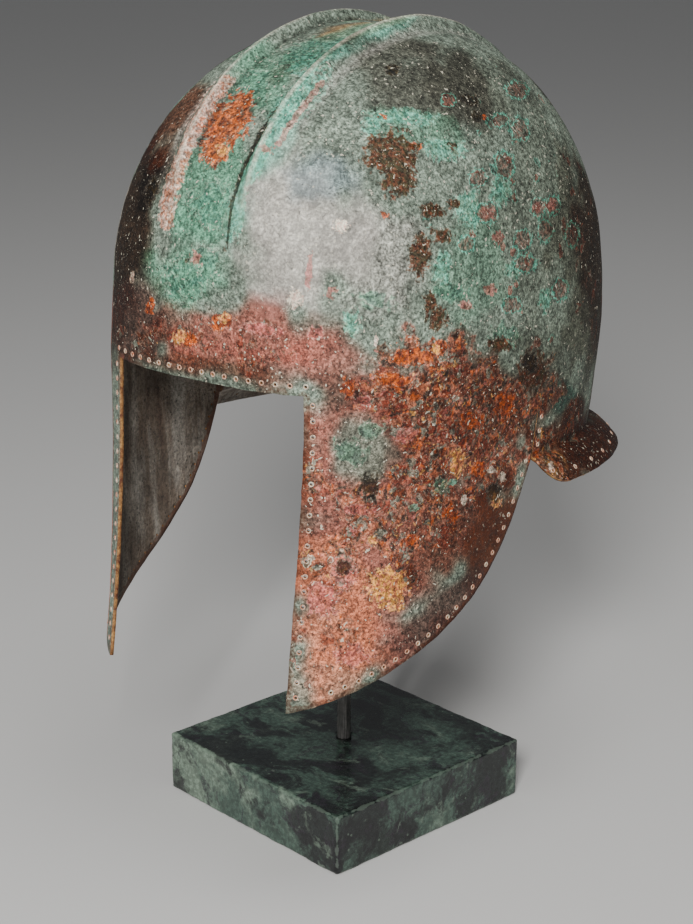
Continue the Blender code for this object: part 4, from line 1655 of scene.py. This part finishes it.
@dataclass(frozen=True)
class PatinaFinish(Finish):
    """Outer face: ground colour, coats of crust, ringed blisters, stains, painted shade and highlights,
    grain, specks and painted glints.
    """

    name: str = "patina"
    metallic: float = 0.10
    bump: float = 0.00042
    specular: float = 0.25
    # Warm dark that the painted shade multiplies in.
    painted_shade_tint: Colour = (0.16, 0.075, 0.03, 1.0)
    bend: Warp = Warp(170.0, 4.0, 0.0090)
    broad: Mottle = Mottle(70.0, 0.70, 1.15)
    medium: Mottle = Mottle(400.0, 0.48, 1.45)
    grain: Mottle = Mottle(950.0, 0.42, 1.60)
    salt: Specks = Specks(560.0, 0.16, 0.26)
    pits: Cloud = Cloud(620.0, 2.0, 0.5, 0.66, 0.72)
    glint: Cloud = Cloud(1500.0, 2.0, 0.5, 0.66, 0.74)
    uneven: Cloud = Cloud(95.0, 5.0, 0.6, 0.26, 0.52)
    broken_ring: Cloud = Cloud(420.0, 4.0, 0.6, 0.38, 0.56)
    blister_scale: float = 120.0
    crust_gain: float = 1.15
    crust_ragged: float = 3.6
    ring_ragged: float = 1.3
    stain_ragged: float = 2.3
    fills: tuple[tuple[float, Tone], ...] = (
        (0.0, Tone.ROSE), (0.34, Tone.SLATE), (0.62, Tone.TEAL), (0.82, Tone.BRICK))
    # Pale wear and painted highlight on the crest, dark dirt and painted shade in the inner crease, painted
    # highlight in the outer crease.
    rib_lines: tuple[tuple[str, Tone, float, float], ...] = (
        ("rib_crest", Tone.BONE, 0.72, 0.3), ("rib_inner_crease", Tone.NIGHT, 0.72, -0.5),
        ("rib_outer_crease", Tone.PALE_GREY, 0.40, -0.3))
    crusts: tuple[Crust, ...] = (
        Crust(Tone.BRICK, 110.0, 0.04, 0.65, 0.25),
        Crust(Tone.RUST_BROWN, 130.0, -0.02, 0.70, 0.1),
        Crust(Tone.SALMON, 210.0, -0.20, 0.60, 0.2),
        Crust(Tone.GREY_GREEN, 170.0, -0.24, 0.65, -0.1),
        Crust(Tone.ORANGE, 240.0, -0.31, 0.75, 0.4),
        Crust(Tone.NIGHT, 260.0, -0.24, 0.75, -0.4),
        Crust(Tone.PINK, 340.0, -0.42, 0.45, 0.3),
        Crust(Tone.OCHRE, 430.0, -0.44, 0.65, 0.4))

    def blisters(self, wires: Wiring, place: Value, colour: Value) -> Sockets:
        """Ringed blisters: thin light rings in the cells of some places.

        Args:
            wires: the material's wiring.
            place: warped object coordinates.
            colour: the colour below.

        Returns:
            The colour and the rings' mask.
        """
        cells = wires.add("TexVoronoi", {"Vector": place, "Scale": self.blister_scale, "Randomness": 1.0})
        parts = wires.add("SeparateColor", {"Color": cells.outputs["Color"]})
        reach = wires.raised(parts.outputs["Blue"], 0.26, 0.08)
        off = wires.reckon('ABSOLUTE', wires.reckon('SUBTRACT', cells.outputs["Distance"], reach))
        ring = wires.times(wires.steps(off, 0.050, 0.012), wires.stepped(place, self.broken_ring))
        inside = wires.steps(wires.reckon('SUBTRACT', reach, cells.outputs["Distance"]), 0.0, 0.03)
        picked = wires.reckon('LESS_THAN', parts.outputs["Red"], wires.times(wires.reading("rings"), 0.75))
        fill = wires.ramp(parts.outputs["Green"], self.fills, hard=True)
        colour = wires.coat(colour, wires.times(inside, picked), 0.55, fill)
        lit = wires.times(ring, picked)
        line = wires.mix(wires.reading("crust"), Tone.TURQUOISE.socket, Tone.BONE.socket)
        return wires.coat(colour, lit, 0.7, line), lit

    def crusted(self, effects: Effects, wires: Wiring, place: Value, below: Sockets) -> Sockets:
        """Lays the coats of crust.

        Args:
            effects: the shared node groups.
            wires: the material's wiring.
            place: warped object coordinates.
            below: the colour and the height below.

        Returns:
            The colour and the height.
        """
        colour, height = below
        crust = wires.reading("crust")
        for number, coat in enumerate(self.crusts):
            moved = wires.vector('ADD', {0: place, 1: (0.7 * number, 1.3, -0.9 * number)})
            level = wires.raised(crust, self.crust_gain, coat.level - self.crust_gain)
            mask, rim = effects.ragged(wires, moved, level, coat.scale, self.crust_ragged)
            colour = wires.coat(colour, mask, coat.cover, coat.tone.socket)
            colour = wires.coat(colour, rim, 0.10, Tone.BONE.socket)
            height = wires.raised(mask, coat.rise, height)
        return colour, height

    def stained(self, effects: Effects, wires: Wiring, places: Sockets, below: Sockets) -> Sockets:
        """Lays the charted stains, the lines of wear, painted highlight and painted shade along the ribs,
        and the painted shade.

        Args:
            effects: the shared node groups.
            wires: the material's wiring.
            places: object coordinates, plain and warped.
            below: the colour and the height below.

        Returns:
            The colour and the height.
        """
        place, warped = places
        colour, height = below
        for layer in Layer:
            mask, rim = effects.ragged(wires, warped, wires.reading(layer.attribute), layer.breakup,
                                       self.ring_ragged if layer.ringed else self.stain_ragged)
            through = wires.steps(wires.cloud(place, layer.breakup * 1.3, 5.0, 0.7), 0.44, 0.58)
            tone = wires.mix(through, layer.tone.socket, layer.second.socket)
            colour = wires.coat(colour, mask, layer.cover, tone)
            line, cover = (Tone.TURQUOISE, 1.0) if layer.ringed else (Tone.BONE, 0.16)
            colour = wires.coat(colour, rim, cover, line.socket)
            height = wires.raised(mask, layer.crust, height)
        for name, tone, cover, rise in self.rib_lines:
            line = wires.times(wires.reading(name), wires.stepped(place, self.uneven))
            colour = wires.coat(colour, line, cover, tone.socket)
            height = wires.raised(line, rise, height)
        # Multiplies in the painted shade from the shade attribute.
        return wires.mix(wires.reading("shade"), colour, self.painted_shade_tint, 'MULTIPLY'), height

    def make(self, effects: Effects) -> bpy.types.Material:
        """Builds the material.

        Args:
            effects: the shared node groups.

        Returns:
            The material.
        """
        material, wires, shader, place = self.open()
        warped = wires.warp(place, self.bend)
        burnish, crust = wires.reading("burnish"), wires.reading("crust")
        colour, cloud = effects.clouds(wires, place, wires.reading("ground", colour=True), self.broad)
        colour, height = self.crusted(effects, wires, warped, (colour, wires.times(cloud, 0.2)))
        colour, rings = self.blisters(wires, warped, colour)
        height = wires.raised(rings, 0.4, height)
        colour, height = self.stained(effects, wires, (place, warped), (colour, height))
        smooth_crest = wires.raised(wires.reading("rib_crest"), -0.45, 1.0)
        rough_share = wires.times(wires.steps(burnish, 0.0, 1.0, 1.0, 0.52), smooth_crest)
        medium, medium_cloud = effects.clouds(wires, place, colour, self.medium)
        grain, grain_cloud = effects.clouds(wires, place, medium, self.grain)
        colour = wires.mix(rough_share, colour, grain)
        pits = wires.stepped(warped, self.pits)
        colour = wires.mix(wires.times(pits, wires.times(rough_share, 0.8)), colour, Tone.NIGHT.socket)
        salt = wires.times(effects.specks(wires, warped, self.salt), 0.75)
        # Pale salt specks together with painted glints.
        dust_and_glint = wires.reckon('MAXIMUM', salt, wires.times(wires.stepped(place, self.glint), 0.55))
        colour = wires.mix(wires.times(dust_and_glint, rough_share), colour, Tone.BONE.socket)
        edge = wires.reckon('SUBTRACT', wires.reading("edge"), 0.66)
        worn, _ = effects.ragged(wires, place, edge, 300.0, 0.9)
        colour = wires.coat(colour, worn, 0.40, Tone.RUST_BROWN.socket)
        height = wires.raised(medium_cloud, 0.35, height)
        height = wires.raised(wires.times(grain_cloud, rough_share), 0.30, height)
        height = wires.raised(pits, -0.30, height)
        rough = wires.raised(medium_cloud, 0.18, 0.46)
        rough = wires.raised(burnish, -0.10, rough)
        rough = wires.raised(crust, 0.06, rough)
        self.close(wires, shader, colour, rough, height)
        return material


@dataclass(frozen=True)
class InnerFinish(Finish):
    """Inner face: matt grey-brown with upright streaks and copper near the edges."""

    name: str = "inner_face"
    metallic: float = 0.05
    bump: float = 0.0004
    drawn: tuple[float, float, float] = (1.0, 1.0, 0.22)
    stops: tuple[tuple[float, Tone], ...] = ((0.26, Tone.BROWN), (0.46, Tone.ASH), (0.76, Tone.PALE_GREY))
    broad: Mottle = Mottle(46.0, 0.75, 1.35)
    fine: Mottle = Mottle(620.0, 0.65, 1.30)
    pits: Specks = Specks(420.0, 0.35, 0.25)

    def make(self, effects: Effects) -> bpy.types.Material:
        """Builds the material.

        Args:
            effects: the shared node groups.

        Returns:
            The material.
        """
        material, wires, shader, place = self.open()
        drawn = wires.add("Mapping", {"Vector": place, "Scale": self.drawn}).outputs["Vector"]
        streaks = wires.cloud(drawn, 85.0, 6.0, 0.62)
        colour, _ = effects.clouds(wires, place, wires.ramp(streaks, self.stops), self.broad)
        colour, cloud = effects.clouds(wires, place, colour, self.fine)
        colour = wires.coat(colour, effects.specks(wires, place, self.pits), 0.6, Tone.NIGHT.socket)
        edge = wires.reckon('SUBTRACT', wires.reading("edge"), 0.45)
        copper, _ = effects.ragged(wires, place, edge, 260.0, 0.7)
        colour = wires.coat(colour, copper, 0.6, Tone.RUST_BROWN.socket)
        height = wires.raised(streaks, 0.8, cloud)
        self.close(wires, shader, colour, wires.raised(streaks, 0.2, 0.62), height)
        return material


@dataclass(frozen=True)
class EdgeFinish(Finish):
    """Cut edges and rims of the holes: worn copper and pale crust."""

    name: str = "worn_edge"
    metallic: float = 0.15
    bump: float = 0.0002
    low: Tone = Tone.RUST_BROWN
    high: Tone = Tone.GOLD
    fine: Mottle = Mottle(900.0, 0.7, 1.2)
    pits: Specks = Specks(1400.0, 0.3, 0.3)

    def make(self, effects: Effects) -> bpy.types.Material:
        """Builds the material.

        Args:
            effects: the shared node groups.

        Returns:
            The material.
        """
        material, wires, shader, place = self.open()
        spread = wires.cloud(place, 260.0, 5.0, 0.7)
        colour = wires.ramp(spread, ((0.36, self.low), (0.62, self.high)))
        colour, cloud = effects.clouds(wires, place, colour, self.fine)
        colour = wires.coat(colour, effects.specks(wires, place, self.pits), 0.5, Tone.BROWN.socket)
        self.close(wires, shader, colour, wires.raised(spread, 0.25, 0.42), cloud)
        return material


@dataclass(frozen=True)
class MarbleFinish(Finish):
    """Polished green marble with dark veins, pale clouds and painted light on its faces."""

    name: str = "green_marble_polished"
    bump: float = 0.00015
    deep: Colour = (0.008, 0.008, 0.009, 1.0)
    dark: Colour = (0.017, 0.024, 0.020, 1.0)
    green: Colour = (0.045, 0.075, 0.057, 1.0)
    pale: Colour = (0.15, 0.20, 0.15, 1.0)
    plum: Colour = (0.018, 0.013, 0.020, 1.0)
    bend: Warp = Warp(34.0, 6.0, 0.040, 0.0)
    slant: tuple[float, float, float] = (0.5, 0.7, 0.6)
    squeeze: tuple[float, float, float] = (1.0, 2.6, 1.4)
    light: Cloud = Cloud(47.0, 6.0, 0.6, 0.60, 0.67)
    fine: Mottle = Mottle(420.0, 0.60, 1.30)
    pits: Specks = Specks(330.0, 0.10, 0.20)

    def make(self, effects: Effects) -> bpy.types.Material:
        """Builds the material.

        Args:
            effects: the shared node groups.

        Returns:
            The material.
        """
        material, wires, shader, place = self.open()
        warped = wires.warp(place, self.bend)
        # The pale attribute is painted light on the slab's faces.
        pale = wires.reading("pale")
        level = wires.raised(pale, 0.34, wires.cloud(warped, 44.0, 9.0, 0.66))
        colour = wires.mix(wires.steps(level, 0.48, 0.60), self.dark, self.green)
        colour = wires.mix(wires.steps(level, 0.62, 0.84), colour, self.pale)
        slanted = wires.add("Mapping", {"Vector": warped, "Rotation": self.slant, "Scale": self.squeeze})
        slanted = slanted.outputs["Vector"]
        band = wires.reckon('ADD', wires.cloud(slanted, 21.0, 7.0, 0.62), wires.times(pale, -0.12))
        colour = wires.coat(colour, wires.steps(band, 0.44, 0.53), 0.88, self.deep)
        ridge = wires.reckon('SUBTRACT', wires.cloud(warped, 27.0, 6.0, 0.6), 0.5)
        vein = wires.steps(wires.reckon('ABSOLUTE', ridge), 0.016, 0.002)
        colour = wires.coat(colour, vein, 0.7, self.plum)
        colour = wires.coat(colour, wires.stepped(slanted, self.light), 0.45, self.pale)
        colour, cloud = effects.clouds(wires, place, colour, self.fine)
        arris = wires.reckon('SUBTRACT', wires.reading("arris"), 0.6)
        worn, _ = effects.ragged(wires, place, arris, 210.0, 1.4)
        colour = wires.coat(colour, worn, 0.28, self.pale)
        pits = effects.specks(wires, place, self.pits)
        colour = wires.coat(colour, pits, 0.4, self.pale)
        rough = wires.raised(worn, 0.30, wires.raised(cloud, 0.10, 0.20))
        self.close(wires, shader, colour, rough, wires.times(pits, -1.0))
        return material


@dataclass(frozen=True)
class SteelFinish(Finish):
    """Dark turned steel with fine upright wear."""

    name: str = "black_steel_turned"
    metallic: float = 0.40
    bump: float = 0.0001
    dark: Colour = (0.13, 0.125, 0.12, 1.0)
    worn: Colour = (0.36, 0.34, 0.32, 1.0)
    drawn: tuple[float, float, float] = (1.0, 1.0, 0.05)
    fine: Mottle = Mottle(160.0, 0.7, 1.2)

    def make(self, effects: Effects) -> bpy.types.Material:
        """Builds the material.

        Args:
            effects: the shared node groups.

        Returns:
            The material.
        """
        material, wires, shader, place = self.open()
        drawn = wires.add("Mapping", {"Vector": place, "Scale": self.drawn}).outputs["Vector"]
        brushed = wires.cloud(drawn, 1400.0, 4.0, 0.7)
        colour = wires.mix(wires.steps(brushed, 0.42, 0.72), self.dark, self.worn)
        colour, _ = effects.clouds(wires, place, colour, self.fine)
        self.close(wires, shader, colour, wires.raised(brushed, 0.25, 0.28), brushed)
        return material


@dataclass
class DisplayStand:
    """The marble slab and the steel post."""

    slab_side: float = 0.116
    slab_height: float = 0.0285
    slab_turn: float = math.radians(-9.7)
    arris: float = 0.0012
    chip: float = 0.0009
    cells: int = 56
    post_radius: float = 0.0032
    head_radius: float = 0.010
    head_height: float = 0.005
    head_outline: tuple[tuple[float, float], ...] = (
        (0.3, 0.02), (0.6, 0.1), (0.82, 0.2), (0.94, 0.3), (1.0, 0.46), (0.97, 0.6), (0.8, 0.8), (0.5, 0.92))
    foot_bevel: float = 0.0006
    turned_steps: int = 48
    turned_merge: float = 0.0001
    socket_depth: float = 0.012
    socket_sides: int = 32
    gap: float = 0.0003

    def slab(self, finish: bpy.types.Material) -> bpy.types.Object:
        """The slab with worn, chipped edges and the post's socket."""
        half = Vector((self.slab_side / 2, self.slab_side / 2, self.slab_height / 2))
        mesh = bmesh.new()
        bmesh.ops.create_cube(mesh, size=2.0)
        bmesh.ops.subdivide_edges(mesh, edges=mesh.edges[:], cuts=self.cells - 1, use_grid_fill=True)
        inner = half - Vector((self.arris,) * 3)
        turn = Matrix.Rotation(self.slab_turn, 3, 'Z')
        for vertex in mesh.verts:
            spread = Vector([half[axis] * math.sin(math.pi / 2 * vertex.co[axis]) for axis in range(3)])
            core = Vector([min(max(spread[axis], -inner[axis]), inner[axis]) for axis in range(3)])
            off = spread - core
            bend = sorted(abs(part) for part in off)[1] / self.arris
            wear = max(noise.noise(core * 95.0) - 0.05, 0.0) + 0.6 * max(noise.noise(core * 310.0), 0.0)
            point = core + off.normalized() * (self.arris - self.chip * wear * min(bend * 1.6, 1.0))
            vertex.co = turn @ point + Vector((0, 0, half.z))
        bmesh.ops.recalc_face_normals(mesh, faces=mesh.faces)
        marble = cut_with(from_bmesh(mesh, "slab", [finish]), self.socket(finish), "marble_slab")
        self.shade(marble.data, half)
        return marble

    def socket(self, finish: bpy.types.Material) -> bpy.types.Object:
        """Cutter of the post's socket."""
        mesh = bmesh.new()
        radius = self.post_radius + self.gap
        bmesh.ops.create_cone(mesh, cap_ends=True, segments=self.socket_sides, radius1=radius,
                              radius2=radius, depth=self.socket_depth * 2,
                              matrix=Matrix.Translation((0, 0, self.slab_height)))
        return from_bmesh(mesh, "socket", [finish])

    def shade(self, mesh: bpy.types.Mesh, half: Vector) -> None:
        """Writes painted light on the stone's faces and where its arrises are."""
        back = Matrix.Rotation(-self.slab_turn, 3, 'Z')
        pale, arris = [], []
        for vertex in mesh.vertices:
            point = back @ (vertex.co - Vector((0, 0, half.z)))
            share = Vector([point[axis] / half[axis] for axis in range(3)])
            distances = sorted(half[axis] - abs(point[axis]) for axis in range(3))
            arris.append(max(0.0, 1 - distances[1] / (self.arris * 2.2)))
            # Painted light: the front face is pale, fading towards its right end; the right face and the top
            # are darker.
            if share.y < -0.97:
                amount = 0.85 - 0.38 * (share.x + 1) + 0.12 * share.z
            elif share.x > 0.97:
                amount = 0.20 + 0.15 * share.y
            elif share.z > 0.95:
                amount = 0.24 + 0.30 * max(-share.x - 0.4, 0) - 0.15 * max(share.x - share.y - 1.2, 0)
            else:
                amount = 0.35
            pale.append(amount)
        StainChart.store(mesh, "pale", np.array(pale), 'FLOAT')
        StainChart.store(mesh, "arris", np.array(arris), 'FLOAT')

    def post(self, finish: bpy.types.Material) -> bpy.types.Object:
        """The turned post between the heights that its solid has."""
        low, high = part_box("stand_post")
        top, bottom = high[2], low[2]
        outline = [(0.0, top)]
        outline += [(self.head_radius * wide, top - self.head_height * deep)
                    for wide, deep in self.head_outline]
        outline += [(self.post_radius, top - self.head_height), (self.post_radius, bottom + self.foot_bevel),
                    (self.post_radius - self.foot_bevel, bottom), (0.0, bottom)]
        data = bpy.data.meshes.new("post")
        data.from_pydata([(reach, 0, z) for reach, z in outline],
                         [(step, step + 1) for step in range(len(outline) - 1)], [])
        data.materials.append(finish)
        rod = shown("post", data)
        turned = rod.modifiers.new("turned", 'SCREW')
        turned.steps = self.turned_steps
        turned.render_steps = self.turned_steps
        turned.use_merge_vertices = True
        turned.merge_threshold = self.turned_merge
        turned.use_smooth_shade = True
        return baked(rod, "steel_post")


@dataclass(frozen=True)
class Studio:
    """Pale floor, soft lights and the picture's camera."""

    floor_size: float = 16.0
    floor_tone: Colour = (0.62, 0.61, 0.59, 1.0)
    floor_rough: float = 0.8
    world_tone: Colour = (0.95, 0.97, 1.0, 1.0)
    world_strength: float = 0.18
    aim: tuple[float, float, float] = (0.0, 0.0, 0.2)
    key: tuple[tuple[float, float, float], float, float] = ((0.72, -1.22, 0.98), 0.40, 33.0)
    fill: tuple[tuple[float, float, float], float, float] = ((-0.30, -1.50, 0.60), 1.0, 2.5)
    crown: tuple[tuple[float, float, float], float, float] = ((0.35, -0.10, 1.50), 0.6, 5.0)

    def lamp(self, name: str, place: tuple[float, float, float], size: float, power: float) -> None:
        """A soft square lamp that looks at the helmet.

        Args:
            name: its name.
            place: where it stands.
            size: its side in metres.
            power: its power in watts.
        """
        data = bpy.data.lights.new(name, 'AREA')
        data.size = size
        data.energy = power
        lamp = shown(name, data)
        lamp.location = place
        way = Vector(self.aim) - Vector(place)
        lamp.rotation_euler = way.to_track_quat('-Z', 'Y').to_euler()

    def set_up(self, camera: PictureCamera) -> None:
        """Adds the floor, the world, the lamps and the camera."""
        mesh = bmesh.new()
        bmesh.ops.create_grid(mesh, x_segments=1, y_segments=1, size=self.floor_size / 2)
        paper = bpy.data.materials.new("pale_paper")
        paper.use_nodes = True
        shader = paper.node_tree.nodes["Principled BSDF"]
        shader.inputs["Base Color"].default_value = self.floor_tone
        shader.inputs["Roughness"].default_value = self.floor_rough
        floor = from_bmesh(mesh, "studio_floor", [paper])
        world = bpy.data.worlds.new("studio")
        world.use_nodes = True
        sky = world.node_tree.nodes["Background"]
        sky.inputs["Color"].default_value = self.world_tone
        sky.inputs["Strength"].default_value = self.world_strength
        bpy.context.scene.world = world
        self.lamp("key", *self.key)
        self.lamp("fill", *self.fill)
        self.lamp("crown", *self.crown)
        camera.add()


def place_piece(piece: bpy.types.Object, node: str | None = None) -> None:
    """Sets a piece on the body and the solid that it stands for."""
    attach(piece, BODY)
    if node is not None:
        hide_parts(node)
    LOG.info("%s: %d faces", piece.name, len(piece.data.polygons))


def main() -> None:
    """Builds each piece in order and sets up the studio."""
    logging.basicConfig(level=logging.INFO, format="%(name)s %(message)s")
    noise.seed_set(NOISE_SEED)
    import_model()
    camera = PictureCamera()
    effects = Effects()
    form = BowlForm()
    edge = EdgeFinish().make(effects)
    pale_rim = EdgeFinish(name="pale_rim", low=Tone.SALMON, high=Tone.BONE).make(effects)
    punches = EdgePunches(form)
    helmet = HelmetWall(form, camera)
    finishes = [PatinaFinish().make(effects), InnerFinish().make(effects), edge]
    place_piece(helmet.build(punches, finishes), "helmet_shell")
    place_piece(punches.rims(pale_rim))
    stand = DisplayStand()
    place_piece(stand.slab(MarbleFinish().make(effects)), "stand_base")
    place_piece(stand.post(SteelFinish().make(effects)), "stand_post")
    Studio().set_up(camera)


if __name__ == "__main__":
    main()
